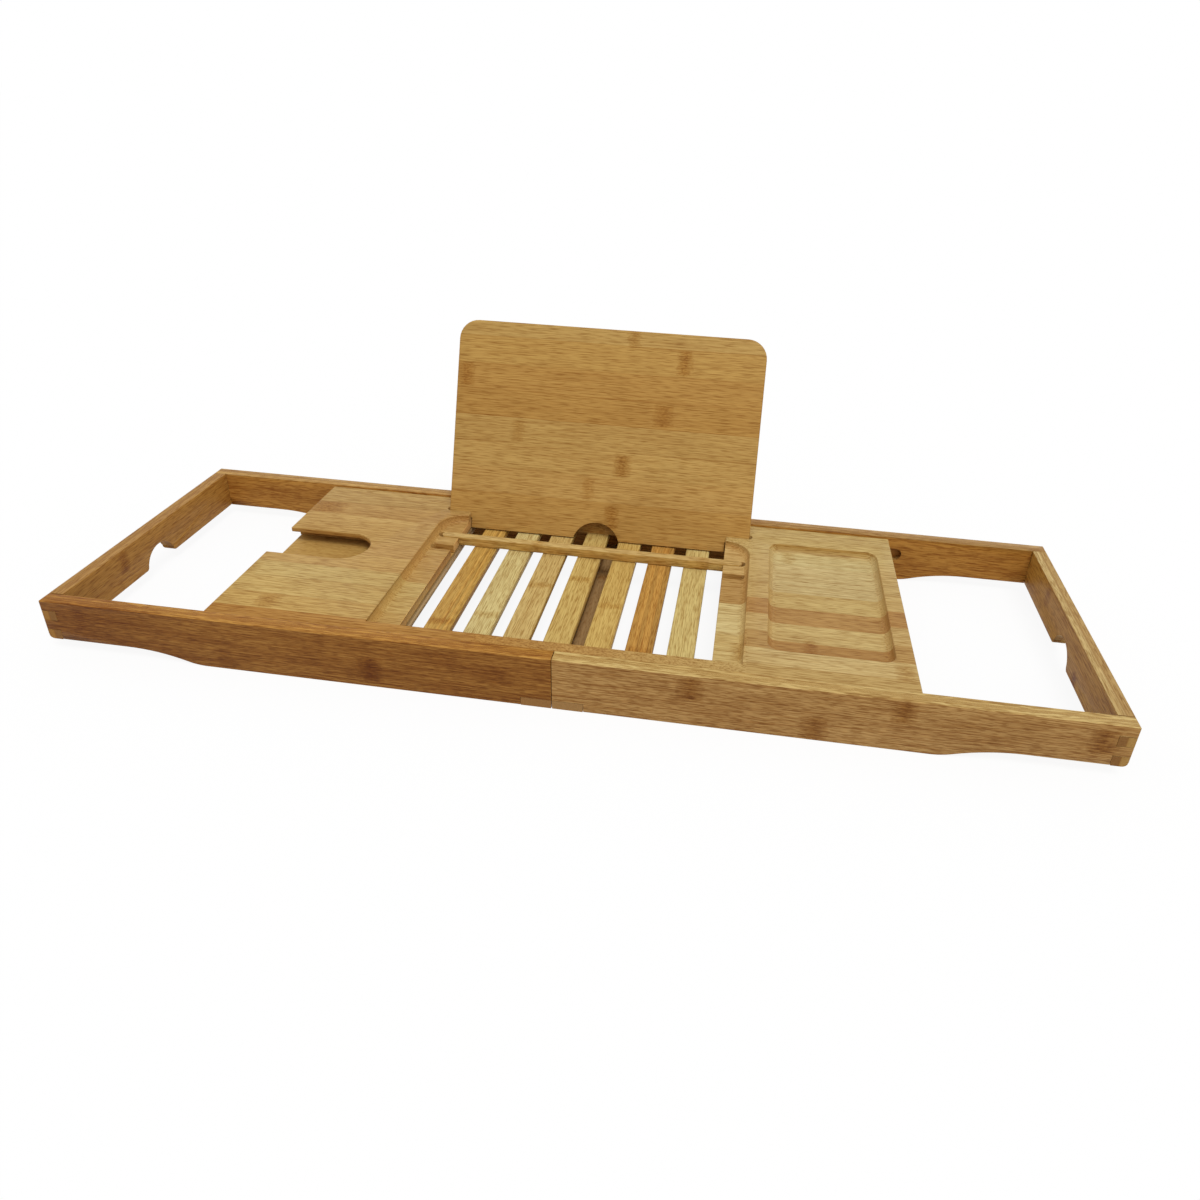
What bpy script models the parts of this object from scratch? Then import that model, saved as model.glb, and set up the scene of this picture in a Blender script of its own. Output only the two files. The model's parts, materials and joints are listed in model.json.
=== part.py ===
"""Extending bamboo bath caddy.

Two U-shaped end frames meet at the middle of the caddy and slide outwards on runners fixed
under the edges of a tray.  The tray carries a stem-glass slot, a soap tray, a slatted window
with a loose ledge bar, and a book rest that stands in a slanted groove.

Lengths are metres.  +X runs along the caddy, +Y to its back and +Z up.  The origin is at the
bottom centre of the whole caddy's bounding box.
"""

import math

import bmesh
import bpy
from mathutils import Matrix, Vector

# Clearances and drawing values
SEAT_GAP = 0.0003        # between glued, screwed or resting faces
SAME_POINT = 0.000002    # outline points closer than this are one
RUN_GAP = 0.0003         # between sliding faces
SEAM_GAP = 0.0006        # between the two closed frames
OVERRUN = 0.004          # how far a cut runs past the face it opens
QUARTER_STEPS = 8        # straight segments in a quarter turn
COVE_STEPS = 4           # straight segments in the cove at the foot of a pocket's wall
SCREW_SIDES = 16

# End frames
OVERALL_LENGTH = 0.750
FRAME_DEPTH = 0.236
RAIL_THICKNESS = 0.0108
RAIL_HEIGHT = 0.041
END_RISE = 0.009         # underside of the shallow rail ends above the floor
END_FLAT_LENGTH = 0.062  # level stretch of the shallow ends
OGEE_LENGTH = 0.0595
OGEE_TURN_SHARE = 0.25   # convex radius as a share of the ogee's two radii
FINGER_COUNT = 4
END_EDGE_RADIUS = 0.004

# Grip arch under each end rail
GRIP_RADIUS = 0.0176
GRIP_HEIGHT = 0.0156
GRIP_EDGE_RADIUS = 0.003

# Stretchers across the open ends of the frames
STRETCHER_WIDTH = 0.0215
STRETCHER_THICKNESS = 0.0065

# Tray
TRAY_OFFSET = -0.006     # the tray rests this far to the left of the seam
DECK_THICKNESS = 0.0137
DECK_DROP = 0.0013       # deck top below the rail tops
DECK_SIDE_GAP = 0.0007
UNDERLAYER_THICKNESS = 0.0058

# Runners under the deck's edges and their grooves in the long rails
RUNNER_SEAT = 0.008      # width of the rebate that holds a runner
RUNNER_REBATE = 0.0045   # depth of that rebate
RUNNER_END_GAP = 0.0012
GROOVE_HEIGHT = 0.011
GROOVE_DEPTH = 0.0055

# Book rest
REST_WIDTH = 0.264
REST_HEIGHT = 0.1664
REST_THICKNESS = 0.0064
REST_LEAN = math.radians(21.0)
REST_FOOT_MARGIN = 0.0245  # from the deck's back edge to the front of the rest
REST_CORNER_RADIUS = 0.0165
REST_FOOT_RADIUS = 0.002
REST_SHOULDER = 0.0205   # width of the shoulder at each side of the tongue
REST_SOCKET_DEPTH = 0.0055
REST_SOCKET_END_GAP = 0.0026
FINGER_HOLE_RADIUS = 0.0208
FINGER_HOLE_RISE = 0.0011  # top of the finger hole above deck level

# Book recess and slatted window
REST_STORE_GAP = 0.001   # at each end of the book rest when it lies in the recess
RECESS_DEPTH = 0.0067
RECESS_COVE_RADIUS = 0.0055
RECESS_FRONT_LIP = 0.011
RECESS_REST_GAP = 0.0068  # from the recess's back wall to the front of the standing rest
RECESS_RADIUS = 0.021
TONGUE_SIDE_GAP = 0.0008
WINDOW_FRONT_MARGIN = 0.0085
WINDOW_BACK_GAP = 0.0008  # behind the book rest at deck level
SLAT_COUNT = 7
SLAT_WIDTH = 0.0196
SLAT_END_GAP = 0.0131    # between the window's end and the first slat
LEFT_PLATE_LIP = 0.0016  # of the left base plate, showing at the foot of the window's end

# Ledge bar and its two grooves
LEDGE_THICKNESS = 0.0072
LEDGE_LENGTH = 0.255
LEDGE_END_GAP = 0.003
LEDGE_PROUD = 0.0008     # top above the recess floor
LEDGE_REST_SPACING = 0.0327  # from the groove's middle to the front of the standing rest
SPARE_GROOVE_SPACING = 0.0208

# Soap tray
SOAP_LENGTH = 0.088
SOAP_RECESS_MARGIN = 0.0165
SOAP_END_MARGIN = 0.013
SOAP_FRONT_MARGIN = 0.031
SOAP_BACK_MARGIN = 0.0275
SOAP_SINK = 0.007
SOAP_COVE_RADIUS = 0.006
SOAP_CORNER_RADIUS = 0.009

# Stem-glass slot, open at the tray's left end
GLASS_SLOT_WIDTH = 0.0414
GLASS_SLOT_LENGTH = 0.0768
GLASS_FOOT_WIDTH = 0.0668
GLASS_SLOT_Y = 0.0034
GLASS_LIP_THICKNESS = 0.0042

# Stop cleats under the tray
SLIDE_TRAVEL = 0.170
CLEAT_THICKNESS = 0.012
CLEAT_WIDTH = 0.150
CLEAT_FLOOR_CLEARANCE = 0.003
CLEAT_SCREW_MARGIN = 0.015  # from a cleat's end to its screw

# Countersunk screws
SCREW_RADIUS = 0.0014
SCREW_HEAD_RADIUS = 0.0027
SCREW_HEAD_HEIGHT = 0.0017
SCREW_SINK = 0.0003      # head below the face it is driven into
DECK_SCREW_COVER = 0.003  # wood between a tray screw's tip and the recess floor
RAIL_SCREW_COVER = 0.005  # wood between a stretcher screw's tip and the slide groove
PLATE_SCREW_MARGIN = 0.011  # from a base plate's end to its screws

# Lengths along the caddy that the pieces share
HALF_LENGTH = OVERALL_LENGTH / 2
OGEE_OUTER_REACH = HALF_LENGTH - END_FLAT_LENGTH
OGEE_INNER_REACH = OGEE_OUTER_REACH - OGEE_LENGTH
RECESS_LENGTH = REST_WIDTH + 2 * REST_STORE_GAP
DECK_LENGTH = RECESS_LENGTH + 2 * (SOAP_RECESS_MARGIN + SOAP_LENGTH + SOAP_END_MARGIN)
GROOVE_REACH = DECK_LENGTH / 2 + abs(TRAY_OFFSET) + RUNNER_END_GAP
TONGUE_WIDTH = REST_WIDTH - 2 * REST_SHOULDER
WINDOW_LENGTH = TONGUE_WIDTH + 2 * TONGUE_SIDE_GAP
SLAT_PITCH = (WINDOW_LENGTH - 2 * SLAT_END_GAP - SLAT_WIDTH) / (SLAT_COUNT - 1)
LEDGE_GROOVE_LENGTH = LEDGE_LENGTH + 2 * LEDGE_END_GAP

# Heights that they share
FINGER_HEIGHT = (RAIL_HEIGHT - END_RISE) / FINGER_COUNT
DECK_TOP = RAIL_HEIGHT - DECK_DROP
DECK_UNDERSIDE = DECK_TOP - DECK_THICKNESS
GROOVE_TOP = DECK_UNDERSIDE + RUNNER_REBATE
GROOVE_BOTTOM = GROOVE_TOP - GROOVE_HEIGHT
RECESS_FLOOR = DECK_TOP - RECESS_DEPTH
SLAT_TOP = DECK_UNDERSIDE - SEAT_GAP
SLAT_UNDERSIDE = SLAT_TOP - UNDERLAYER_THICKNESS
LEDGE_BOTTOM = SLAT_TOP + SEAT_GAP
DECK_SCREW_TOP = RECESS_FLOOR - DECK_SCREW_COVER
STRETCHER_SCREW_LENGTH = GROOVE_BOTTOM - RAIL_SCREW_COVER

# Places across the caddy that they share
HALF_DEPTH = FRAME_DEPTH / 2
RAIL_INNER_Y = HALF_DEPTH - RAIL_THICKNESS
DECK_HALF_DEPTH = RAIL_INNER_Y - DECK_SIDE_GAP
RUNNER_INNER_Y = DECK_HALF_DEPTH - RUNNER_SEAT
SLAT_HALF_DEPTH = RUNNER_INNER_Y - SEAT_GAP
RECESS_FRONT_Y = RECESS_FRONT_LIP - DECK_HALF_DEPTH
WINDOW_FRONT_Y = RECESS_FRONT_Y + WINDOW_FRONT_MARGIN
REST_FOOT_Y = DECK_HALF_DEPTH - REST_FOOT_MARGIN
REST_TOP_BACK_Y = (
    REST_FOOT_Y + REST_HEIGHT * math.sin(REST_LEAN) + REST_THICKNESS * math.cos(REST_LEAN)
)
RECESS_BACK_Y = REST_FOOT_Y - RECESS_REST_GAP
WINDOW_BACK_Y = REST_FOOT_Y + REST_THICKNESS / math.cos(REST_LEAN) + WINDOW_BACK_GAP
LEDGE_Y = REST_FOOT_Y - LEDGE_REST_SPACING
SPARE_GROOVE_Y = LEDGE_Y - SPARE_GROOVE_SPACING
FRONT_SCREW_Y = (WINDOW_FRONT_Y - SLAT_HALF_DEPTH) / 2
BACK_SCREW_Y = (WINDOW_BACK_Y + SLAT_HALF_DEPTH) / 2
CLEAT_SCREW_Y = CLEAT_WIDTH / 2 - CLEAT_SCREW_MARGIN
MIDDLE_Y = (REST_TOP_BACK_Y - HALF_DEPTH) / 2

# Colours, red, green and blue in linear light, with roughness
BAMBOO_LIGHT = ((0.54, 0.33, 0.13), 0.48)
BAMBOO_RAIL = ((0.36, 0.18, 0.065), 0.50)
BAMBOO_SLAT = ((0.50, 0.31, 0.12), 0.50)
BAMBOO_REST = ((0.46, 0.26, 0.085), 0.46)
BAMBOO_UNDER = ((0.33, 0.20, 0.09), 0.60)
STEEL = ((0.60, 0.58, 0.55), 0.35)


def clear_scene():
    for item in list(bpy.data.objects):
        bpy.data.objects.remove(item, do_unlink=True)


def make_material(name, finish, metallic=0.0):
    """A plain Principled material of one colour."""
    colour, roughness = finish
    material = bpy.data.materials.new(name)
    material.use_nodes = True
    shader = material.node_tree.nodes["Principled BSDF"]
    shader.inputs["Base Color"].default_value = (*colour, 1.0)
    shader.inputs["Roughness"].default_value = roughness
    shader.inputs["Metallic"].default_value = metallic
    return material


def make_empty(name, parent=None, location=(0, 0, 0), rotation=(0, 0, 0)):
    empty = bpy.data.objects.new(name, None)
    bpy.context.scene.collection.objects.link(empty)
    empty.parent = parent
    empty.location = location
    empty.rotation_euler = rotation
    return empty


def place(name, mesh, parent, material=None, location=(0, 0, 0)):
    """Put a mesh in the scene under a parent."""
    item = bpy.data.objects.new(name, mesh)
    bpy.context.scene.collection.objects.link(item)
    item.parent = parent
    item.location = location
    if material is not None and not mesh.materials:
        mesh.materials.append(material)
    return item


def as_cutter(item):
    item.hide_render = True
    item.display_type = "WIRE"
    return item


def cut(target, cutter):
    """Take the cutter's volume out of the target."""
    as_cutter(cutter)
    modifier = target.modifiers.new(cutter.name, "BOOLEAN")
    modifier.operation = "DIFFERENCE"
    modifier.solver = "EXACT"
    modifier.object = cutter


def rounded_outline(corners):
    """Closed outline through (u, v, radius) corners, each turned into an arc of its radius."""
    outline = []
    count = len(corners)
    for index, (u, v, radius) in enumerate(corners):
        corner = Vector((u, v))
        if radius == 0:
            outline.append(corner)
            continue
        before = (Vector(corners[index - 1][:2]) - corner).normalized()
        after = (Vector(corners[(index + 1) % count][:2]) - corner).normalized()
        half_angle = before.angle(after) / 2
        centre = corner + (before + after).normalized() * radius / math.sin(half_angle)
        start = corner + before * radius / math.tan(half_angle) - centre
        turn = math.copysign(math.pi - 2 * half_angle, before.cross(after)) * -1
        steps = max(1, round(QUARTER_STEPS * abs(turn) / (math.pi / 2)))
        for step in range(steps + 1):
            outline.append(centre + Matrix.Rotation(turn * step / steps, 2) @ start)
    return outline


def rounded_box_outline(low, high, radius):
    return rounded_outline([
        (low[0], low[1], radius),
        (high[0], low[1], radius),
        (high[0], high[1], radius),
        (low[0], high[1], radius),
    ])


def add_prism(mesh_maker, outline, axis, low, high):
    """Add a closed prism: an outline in the two axes other than axis, from low to high."""
    def point(u, v, w):
        return {"X": (w, u, v), "Y": (u, w, v), "Z": (u, v, w)}[axis]

    kept = [
        here for index, here in enumerate(outline)
        if (Vector(here) - Vector(outline[index - 1])).length > SAME_POINT
    ]
    base = [mesh_maker.verts.new(point(u, v, low)) for u, v in kept]
    top = [mesh_maker.verts.new(point(u, v, high)) for u, v in kept]
    faces = [mesh_maker.faces.new(base), mesh_maker.faces.new(top)]
    for index in range(len(kept)):
        faces.append(
            mesh_maker.faces.new((base[index - 1], base[index], top[index], top[index - 1]))
        )
    bmesh.ops.recalc_face_normals(mesh_maker, faces=faces)


def finish_mesh(name, mesh_maker):
    mesh = bpy.data.meshes.new(name)
    mesh_maker.to_mesh(mesh)
    mesh_maker.free()
    return mesh


def prism_mesh(name, outline, axis, low, high):
    mesh_maker = bmesh.new()
    add_prism(mesh_maker, outline, axis, low, high)
    return finish_mesh(name, mesh_maker)


def box_mesh(name, low, high):
    """A box between two opposite corners."""
    outline = rounded_box_outline(low[:2], high[:2], 0)
    return prism_mesh(name, outline, "Z", low[2], high[2])


def turned_mesh(name, profiles):
    """Solids of revolution about Z: for each, a place (x, y) and (radius, height) rings."""
    mesh_maker = bmesh.new()
    for (x, y), rings in profiles:
        loops = []
        for radius, height in rings:
            loops.append([
                mesh_maker.verts.new((
                    x + radius * math.cos(math.tau * side / SCREW_SIDES),
                    y + radius * math.sin(math.tau * side / SCREW_SIDES),
                    height,
                ))
                for side in range(SCREW_SIDES)
            ])
        faces = [mesh_maker.faces.new(loops[0]), mesh_maker.faces.new(loops[-1])]
        for lower, upper in zip(loops, loops[1:]):
            for side in range(SCREW_SIDES):
                faces.append(mesh_maker.faces.new(
                    (lower[side - 1], lower[side], upper[side], upper[side - 1])
                ))
        bmesh.ops.recalc_face_normals(mesh_maker, faces=faces)
    return finish_mesh(name, mesh_maker)


def screw_rings(length):
    """A countersunk screw driven upwards from the face at height zero."""
    return [
        (SCREW_HEAD_RADIUS, SCREW_SINK),
        (SCREW_RADIUS, SCREW_SINK + SCREW_HEAD_HEIGHT),
        (SCREW_RADIUS, length),
    ]


def hole_rings(length):
    """The countersunk hole that a screw of this length sits in."""
    return [
        (SCREW_HEAD_RADIUS + SEAT_GAP, -OVERRUN),
        (SCREW_HEAD_RADIUS + SEAT_GAP, SCREW_SINK),
        (SCREW_RADIUS + SEAT_GAP, SCREW_SINK + SCREW_HEAD_HEIGHT),
        (SCREW_RADIUS + SEAT_GAP, length + SEAT_GAP),
    ]


def drive_screws(names, places, height, length, parent, targets, material):
    """Put screws at (x, y) places, pointing up from a height, and cut their holes."""
    mesh = turned_mesh(names[0], [((0, 0), screw_rings(length))])
    for name, (x, y) in zip(names, places):
        place(name, mesh, parent, material, (x, y, height))
    for target in targets:
        holes = turned_mesh(names[0] + "_holes", [(spot, hole_rings(length)) for spot in places])
        cut(target, place(target.name + "_" + holes.name, holes, parent, location=(0, 0, height)))


def long_rail_outline():
    """Side view of a front or back rail: distance from the seam, and height."""
    rise = END_RISE
    span = OGEE_OUTER_REACH - OGEE_INNER_REACH
    radii_sum = (span ** 2 + rise ** 2) / (2 * rise)
    slope = math.asin(span / radii_sum)
    turn_radius = OGEE_TURN_SHARE * radii_sum
    sweep_radius = radii_sum - turn_radius
    inner_end = SEAM_GAP / 2
    notch_end = inner_end + STRETCHER_WIDTH + SEAT_GAP
    notch_top = STRETCHER_THICKNESS + SEAT_GAP
    shoulder = HALF_LENGTH - RAIL_THICKNESS - SEAT_GAP

    outline = [(inner_end, notch_top), (notch_end, notch_top), (notch_end, 0)]
    for step in range(QUARTER_STEPS + 1):
        angle = slope * step / QUARTER_STEPS
        outline.append((
            OGEE_INNER_REACH + turn_radius * math.sin(angle),
            turn_radius * (1 - math.cos(angle)),
        ))
    for step in range(QUARTER_STEPS, -1, -1):
        angle = slope * step / QUARTER_STEPS
        outline.append((
            OGEE_OUTER_REACH - sweep_radius * math.sin(angle),
            rise - sweep_radius * (1 - math.cos(angle)),
        ))
    outline.append((shoulder, rise))
    for finger in range(1, FINGER_COUNT, 2):
        low = END_RISE + finger * FINGER_HEIGHT + SEAT_GAP / 2
        outline += [(shoulder, low), (HALF_LENGTH, low)]
        if finger + 1 < FINGER_COUNT:
            high = END_RISE + (finger + 1) * FINGER_HEIGHT - SEAT_GAP / 2
            outline += [(HALF_LENGTH, high), (shoulder, high)]
    outline += [(HALF_LENGTH, RAIL_HEIGHT), (inner_end, RAIL_HEIGHT)]
    return outline


def end_rail_outline():
    """End view of an end rail with its fingers and grip arch: distance across, and height."""
    shoulder = RAIL_INNER_Y - SEAT_GAP
    right_side = []
    for finger in range(FINGER_COUNT):
        reach = HALF_DEPTH if finger % 2 == 0 else shoulder
        low = END_RISE + finger * FINGER_HEIGHT
        high = low + FINGER_HEIGHT
        if finger % 2 == 0:
            high -= SEAT_GAP / 2
            low += SEAT_GAP / 2 if finger else 0
        else:
            low -= SEAT_GAP / 2
            high += SEAT_GAP / 2 if finger + 1 < FINGER_COUNT else 0
        right_side += [(reach, low), (reach, high)]
    left_side = [(-reach, height) for reach, height in reversed(right_side)]

    arch_centre = END_RISE + GRIP_HEIGHT - GRIP_RADIUS
    foot = math.asin((END_RISE + GRIP_EDGE_RADIUS - arch_centre) / (GRIP_RADIUS + GRIP_EDGE_RADIUS))
    edge_centre = (GRIP_RADIUS + GRIP_EDGE_RADIUS) * math.cos(foot)
    arch = []
    for step in range(QUARTER_STEPS + 1):
        angle = -math.pi / 2 + (foot + math.pi / 2) * step / QUARTER_STEPS
        arch.append((
            -edge_centre + GRIP_EDGE_RADIUS * math.cos(angle),
            END_RISE + GRIP_EDGE_RADIUS + GRIP_EDGE_RADIUS * math.sin(angle),
        ))
    for step in range(1, 2 * QUARTER_STEPS):
        angle = math.pi - foot - (math.pi - 2 * foot) * step / (2 * QUARTER_STEPS)
        arch.append((GRIP_RADIUS * math.cos(angle), arch_centre + GRIP_RADIUS * math.sin(angle)))
    arch += [(-across, height) for across, height in reversed(arch[:QUARTER_STEPS + 1])]
    return right_side + left_side + arch


def build_frame(side, parent, rail_material, steel):
    """One end frame in its own axes: +X runs outwards from the seam."""
    rail_outline = long_rail_outline()
    groove_outline = rounded_outline([
        (-OVERRUN, GROOVE_BOTTOM, 0),
        (GROOVE_REACH, GROOVE_BOTTOM, GROOVE_HEIGHT / 2),
        (GROOVE_REACH, GROOVE_TOP, GROOVE_HEIGHT / 2),
        (-OVERRUN, GROOVE_TOP, 0),
    ])
    turned_round = side == "left"
    long_rails = []
    for across in (-1, 1):
        where = "front" if (across < 0) != turned_round else "back"
        name = f"{side}_{where}_rail"
        mesh = prism_mesh(name, rail_outline, "Y", across * RAIL_INNER_Y, across * HALF_DEPTH)
        rail = place(name, mesh, parent, rail_material)
        groove = prism_mesh(
            name + "_groove", groove_outline, "Y",
            across * (RAIL_INNER_Y - OVERRUN), across * (RAIL_INNER_Y + GROOVE_DEPTH),
        )
        cut(rail, place(name + "_groove", groove, parent))
        long_rails.append(rail)

    end_name = f"{side}_end_rail"
    end_mesh = prism_mesh(
        end_name, end_rail_outline(), "X", HALF_LENGTH - RAIL_THICKNESS, HALF_LENGTH
    )
    end_rail = place(end_name, end_mesh, parent, rail_material)
    edge_arc = [
        (
            HALF_LENGTH - END_EDGE_RADIUS + END_EDGE_RADIUS * math.sin(math.pi / 2 * share),
            END_RISE + END_EDGE_RADIUS - END_EDGE_RADIUS * math.cos(math.pi / 2 * share),
        )
        for share in [step / QUARTER_STEPS for step in range(QUARTER_STEPS + 1)]
    ]
    waste = edge_arc + [
        (HALF_LENGTH + OVERRUN, END_RISE + END_EDGE_RADIUS),
        (HALF_LENGTH + OVERRUN, END_RISE - OVERRUN),
        (HALF_LENGTH - END_EDGE_RADIUS, END_RISE - OVERRUN),
    ]
    edge_mesh = prism_mesh(
        end_name + "_edge", waste, "Y", -HALF_DEPTH - OVERRUN, HALF_DEPTH + OVERRUN
    )
    cut(end_rail, place(end_name + "_edge", edge_mesh, parent))

    stretcher_name = f"{side}_stretcher"
    inner_end = SEAM_GAP / 2
    stretcher = place(
        stretcher_name,
        box_mesh(
            stretcher_name,
            (inner_end, -HALF_DEPTH, 0),
            (inner_end + STRETCHER_WIDTH, HALF_DEPTH, STRETCHER_THICKNESS),
        ),
        parent, rail_material,
    )
    screw_x = inner_end + STRETCHER_WIDTH / 2
    screw_y = HALF_DEPTH - RAIL_THICKNESS / 2
    order = ("back", "front") if turned_round else ("front", "back")
    drive_screws(
        [f"{side}_stretcher_{where}_screw" for where in order],
        [(screw_x, -screw_y), (screw_x, screw_y)],
        0, STRETCHER_SCREW_LENGTH, parent, [stretcher, *long_rails], steel,
    )


def coved_pocket(name, low, high, radius, depth, cove_radius, square_front=False):
    """Cutter for a pocket whose wall curves into its floor, but for a front wall left square."""
    mesh_maker = bmesh.new()
    levels = [(0, OVERRUN)]
    for step in range(COVE_STEPS + 1):
        angle = math.pi / 2 * step / COVE_STEPS
        inset = cove_radius * (1 - math.cos(angle))
        levels.append((inset, cove_radius * (1 - math.sin(angle)) - depth))
    loops = []
    for inset, height in levels:
        front = low[1] if square_front else low[1] + inset
        front_radius = 0 if square_front else radius - inset
        outline = rounded_outline([
            (low[0] + inset, front, front_radius),
            (high[0] - inset, front, front_radius),
            (high[0] - inset, high[1] - inset, radius - inset),
            (low[0] + inset, high[1] - inset, radius - inset),
        ])
        loops.append([mesh_maker.verts.new((u, v, DECK_TOP + height)) for u, v in outline])
    mesh_maker.faces.new(loops[0])
    mesh_maker.faces.new(loops[-1])
    for upper, lower in zip(loops, loops[1:]):
        for index in range(len(upper)):
            mesh_maker.faces.new((upper[index - 1], upper[index], lower[index], lower[index - 1]))
    bmesh.ops.recalc_face_normals(mesh_maker, faces=mesh_maker.faces)
    return finish_mesh(name, mesh_maker)


def slot_outline(length, width, middle_y):
    """A slot along X with round ends."""
    return rounded_box_outline(
        (-length / 2, middle_y - width / 2), (length / 2, middle_y + width / 2), width / 2
    )


def glass_outline(width):
    """A slot open at the tray's left end and round at its inner end."""
    left = -DECK_LENGTH / 2
    inner = left + GLASS_SLOT_LENGTH + (width - GLASS_SLOT_WIDTH) / 2
    low = GLASS_SLOT_Y - width / 2
    high = GLASS_SLOT_Y + width / 2
    return rounded_outline([
        (left - OVERRUN, low, 0), (inner, low, width / 2), (inner, high, width / 2),
        (left - OVERRUN, high, 0),
    ])


def build_deck(tray, rest_socket, material):
    """The tray's board with its recess, window, grooves, glass slot and soap tray."""
    half = DECK_LENGTH / 2
    deck = place(
        "deck",
        box_mesh("deck", (-half, -DECK_HALF_DEPTH, DECK_UNDERSIDE), (half, DECK_HALF_DEPTH, DECK_TOP)),
        tray, material,
    )
    above = DECK_TOP + OVERRUN
    below = DECK_UNDERSIDE - OVERRUN

    recess = coved_pocket(
        "recess", (-RECESS_LENGTH / 2, RECESS_FRONT_Y), (RECESS_LENGTH / 2, RECESS_BACK_Y),
        RECESS_RADIUS, RECESS_DEPTH, RECESS_COVE_RADIUS, square_front=True,
    )
    cut(deck, place("recess", recess, tray))
    window = rounded_box_outline(
        (-WINDOW_LENGTH / 2, WINDOW_FRONT_Y), (WINDOW_LENGTH / 2, WINDOW_BACK_Y), 0
    )
    ledge_groove_width = LEDGE_THICKNESS + 2 * RUN_GAP
    cuts = [
        ("window", window, below, above),
        ("ledge_groove", slot_outline(LEDGE_GROOVE_LENGTH, ledge_groove_width, LEDGE_Y),
         below, above),
        ("spare_groove", slot_outline(LEDGE_GROOVE_LENGTH, ledge_groove_width, SPARE_GROOVE_Y),
         below, above),
        ("glass_slot", glass_outline(GLASS_SLOT_WIDTH), below, above),
        ("glass_foot_space", glass_outline(GLASS_FOOT_WIDTH), below,
         DECK_TOP - GLASS_LIP_THICKNESS),
    ]
    for name, outline, low, high in cuts:
        cut(deck, place(name, prism_mesh(name, outline, "Z", low, high), tray))

    soap_end = half - SOAP_END_MARGIN
    soap_low = (soap_end - SOAP_LENGTH, SOAP_FRONT_MARGIN - DECK_HALF_DEPTH)
    soap_high = (soap_end, DECK_HALF_DEPTH - SOAP_BACK_MARGIN)
    soap_pocket = coved_pocket(
        "soap_pocket", soap_low, soap_high, SOAP_CORNER_RADIUS, SOAP_SINK, SOAP_COVE_RADIUS
    )
    cut(deck, place("soap_pocket", soap_pocket, tray))

    for name, across in (("front_rebate", -1), ("back_rebate", 1)):
        edges = sorted((across * RUNNER_INNER_Y, across * (DECK_HALF_DEPTH + OVERRUN)))
        rebate = box_mesh(name, (-half - OVERRUN, edges[0], below), (half + OVERRUN, edges[1], GROOVE_TOP))
        cut(deck, place(name, rebate, tray))

    socket_half = REST_WIDTH / 2 + REST_SOCKET_END_GAP
    socket_width = REST_THICKNESS + 2 * RUN_GAP
    socket = rounded_box_outline(
        (-socket_half, -RUN_GAP), (socket_half, socket_width - RUN_GAP), socket_width / 2
    )
    socket_mesh = prism_mesh("rest_groove", socket, "Z", -REST_SOCKET_DEPTH, 2 * OVERRUN)
    cut(deck, place("rest_groove", socket_mesh, rest_socket))
    return deck


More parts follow.
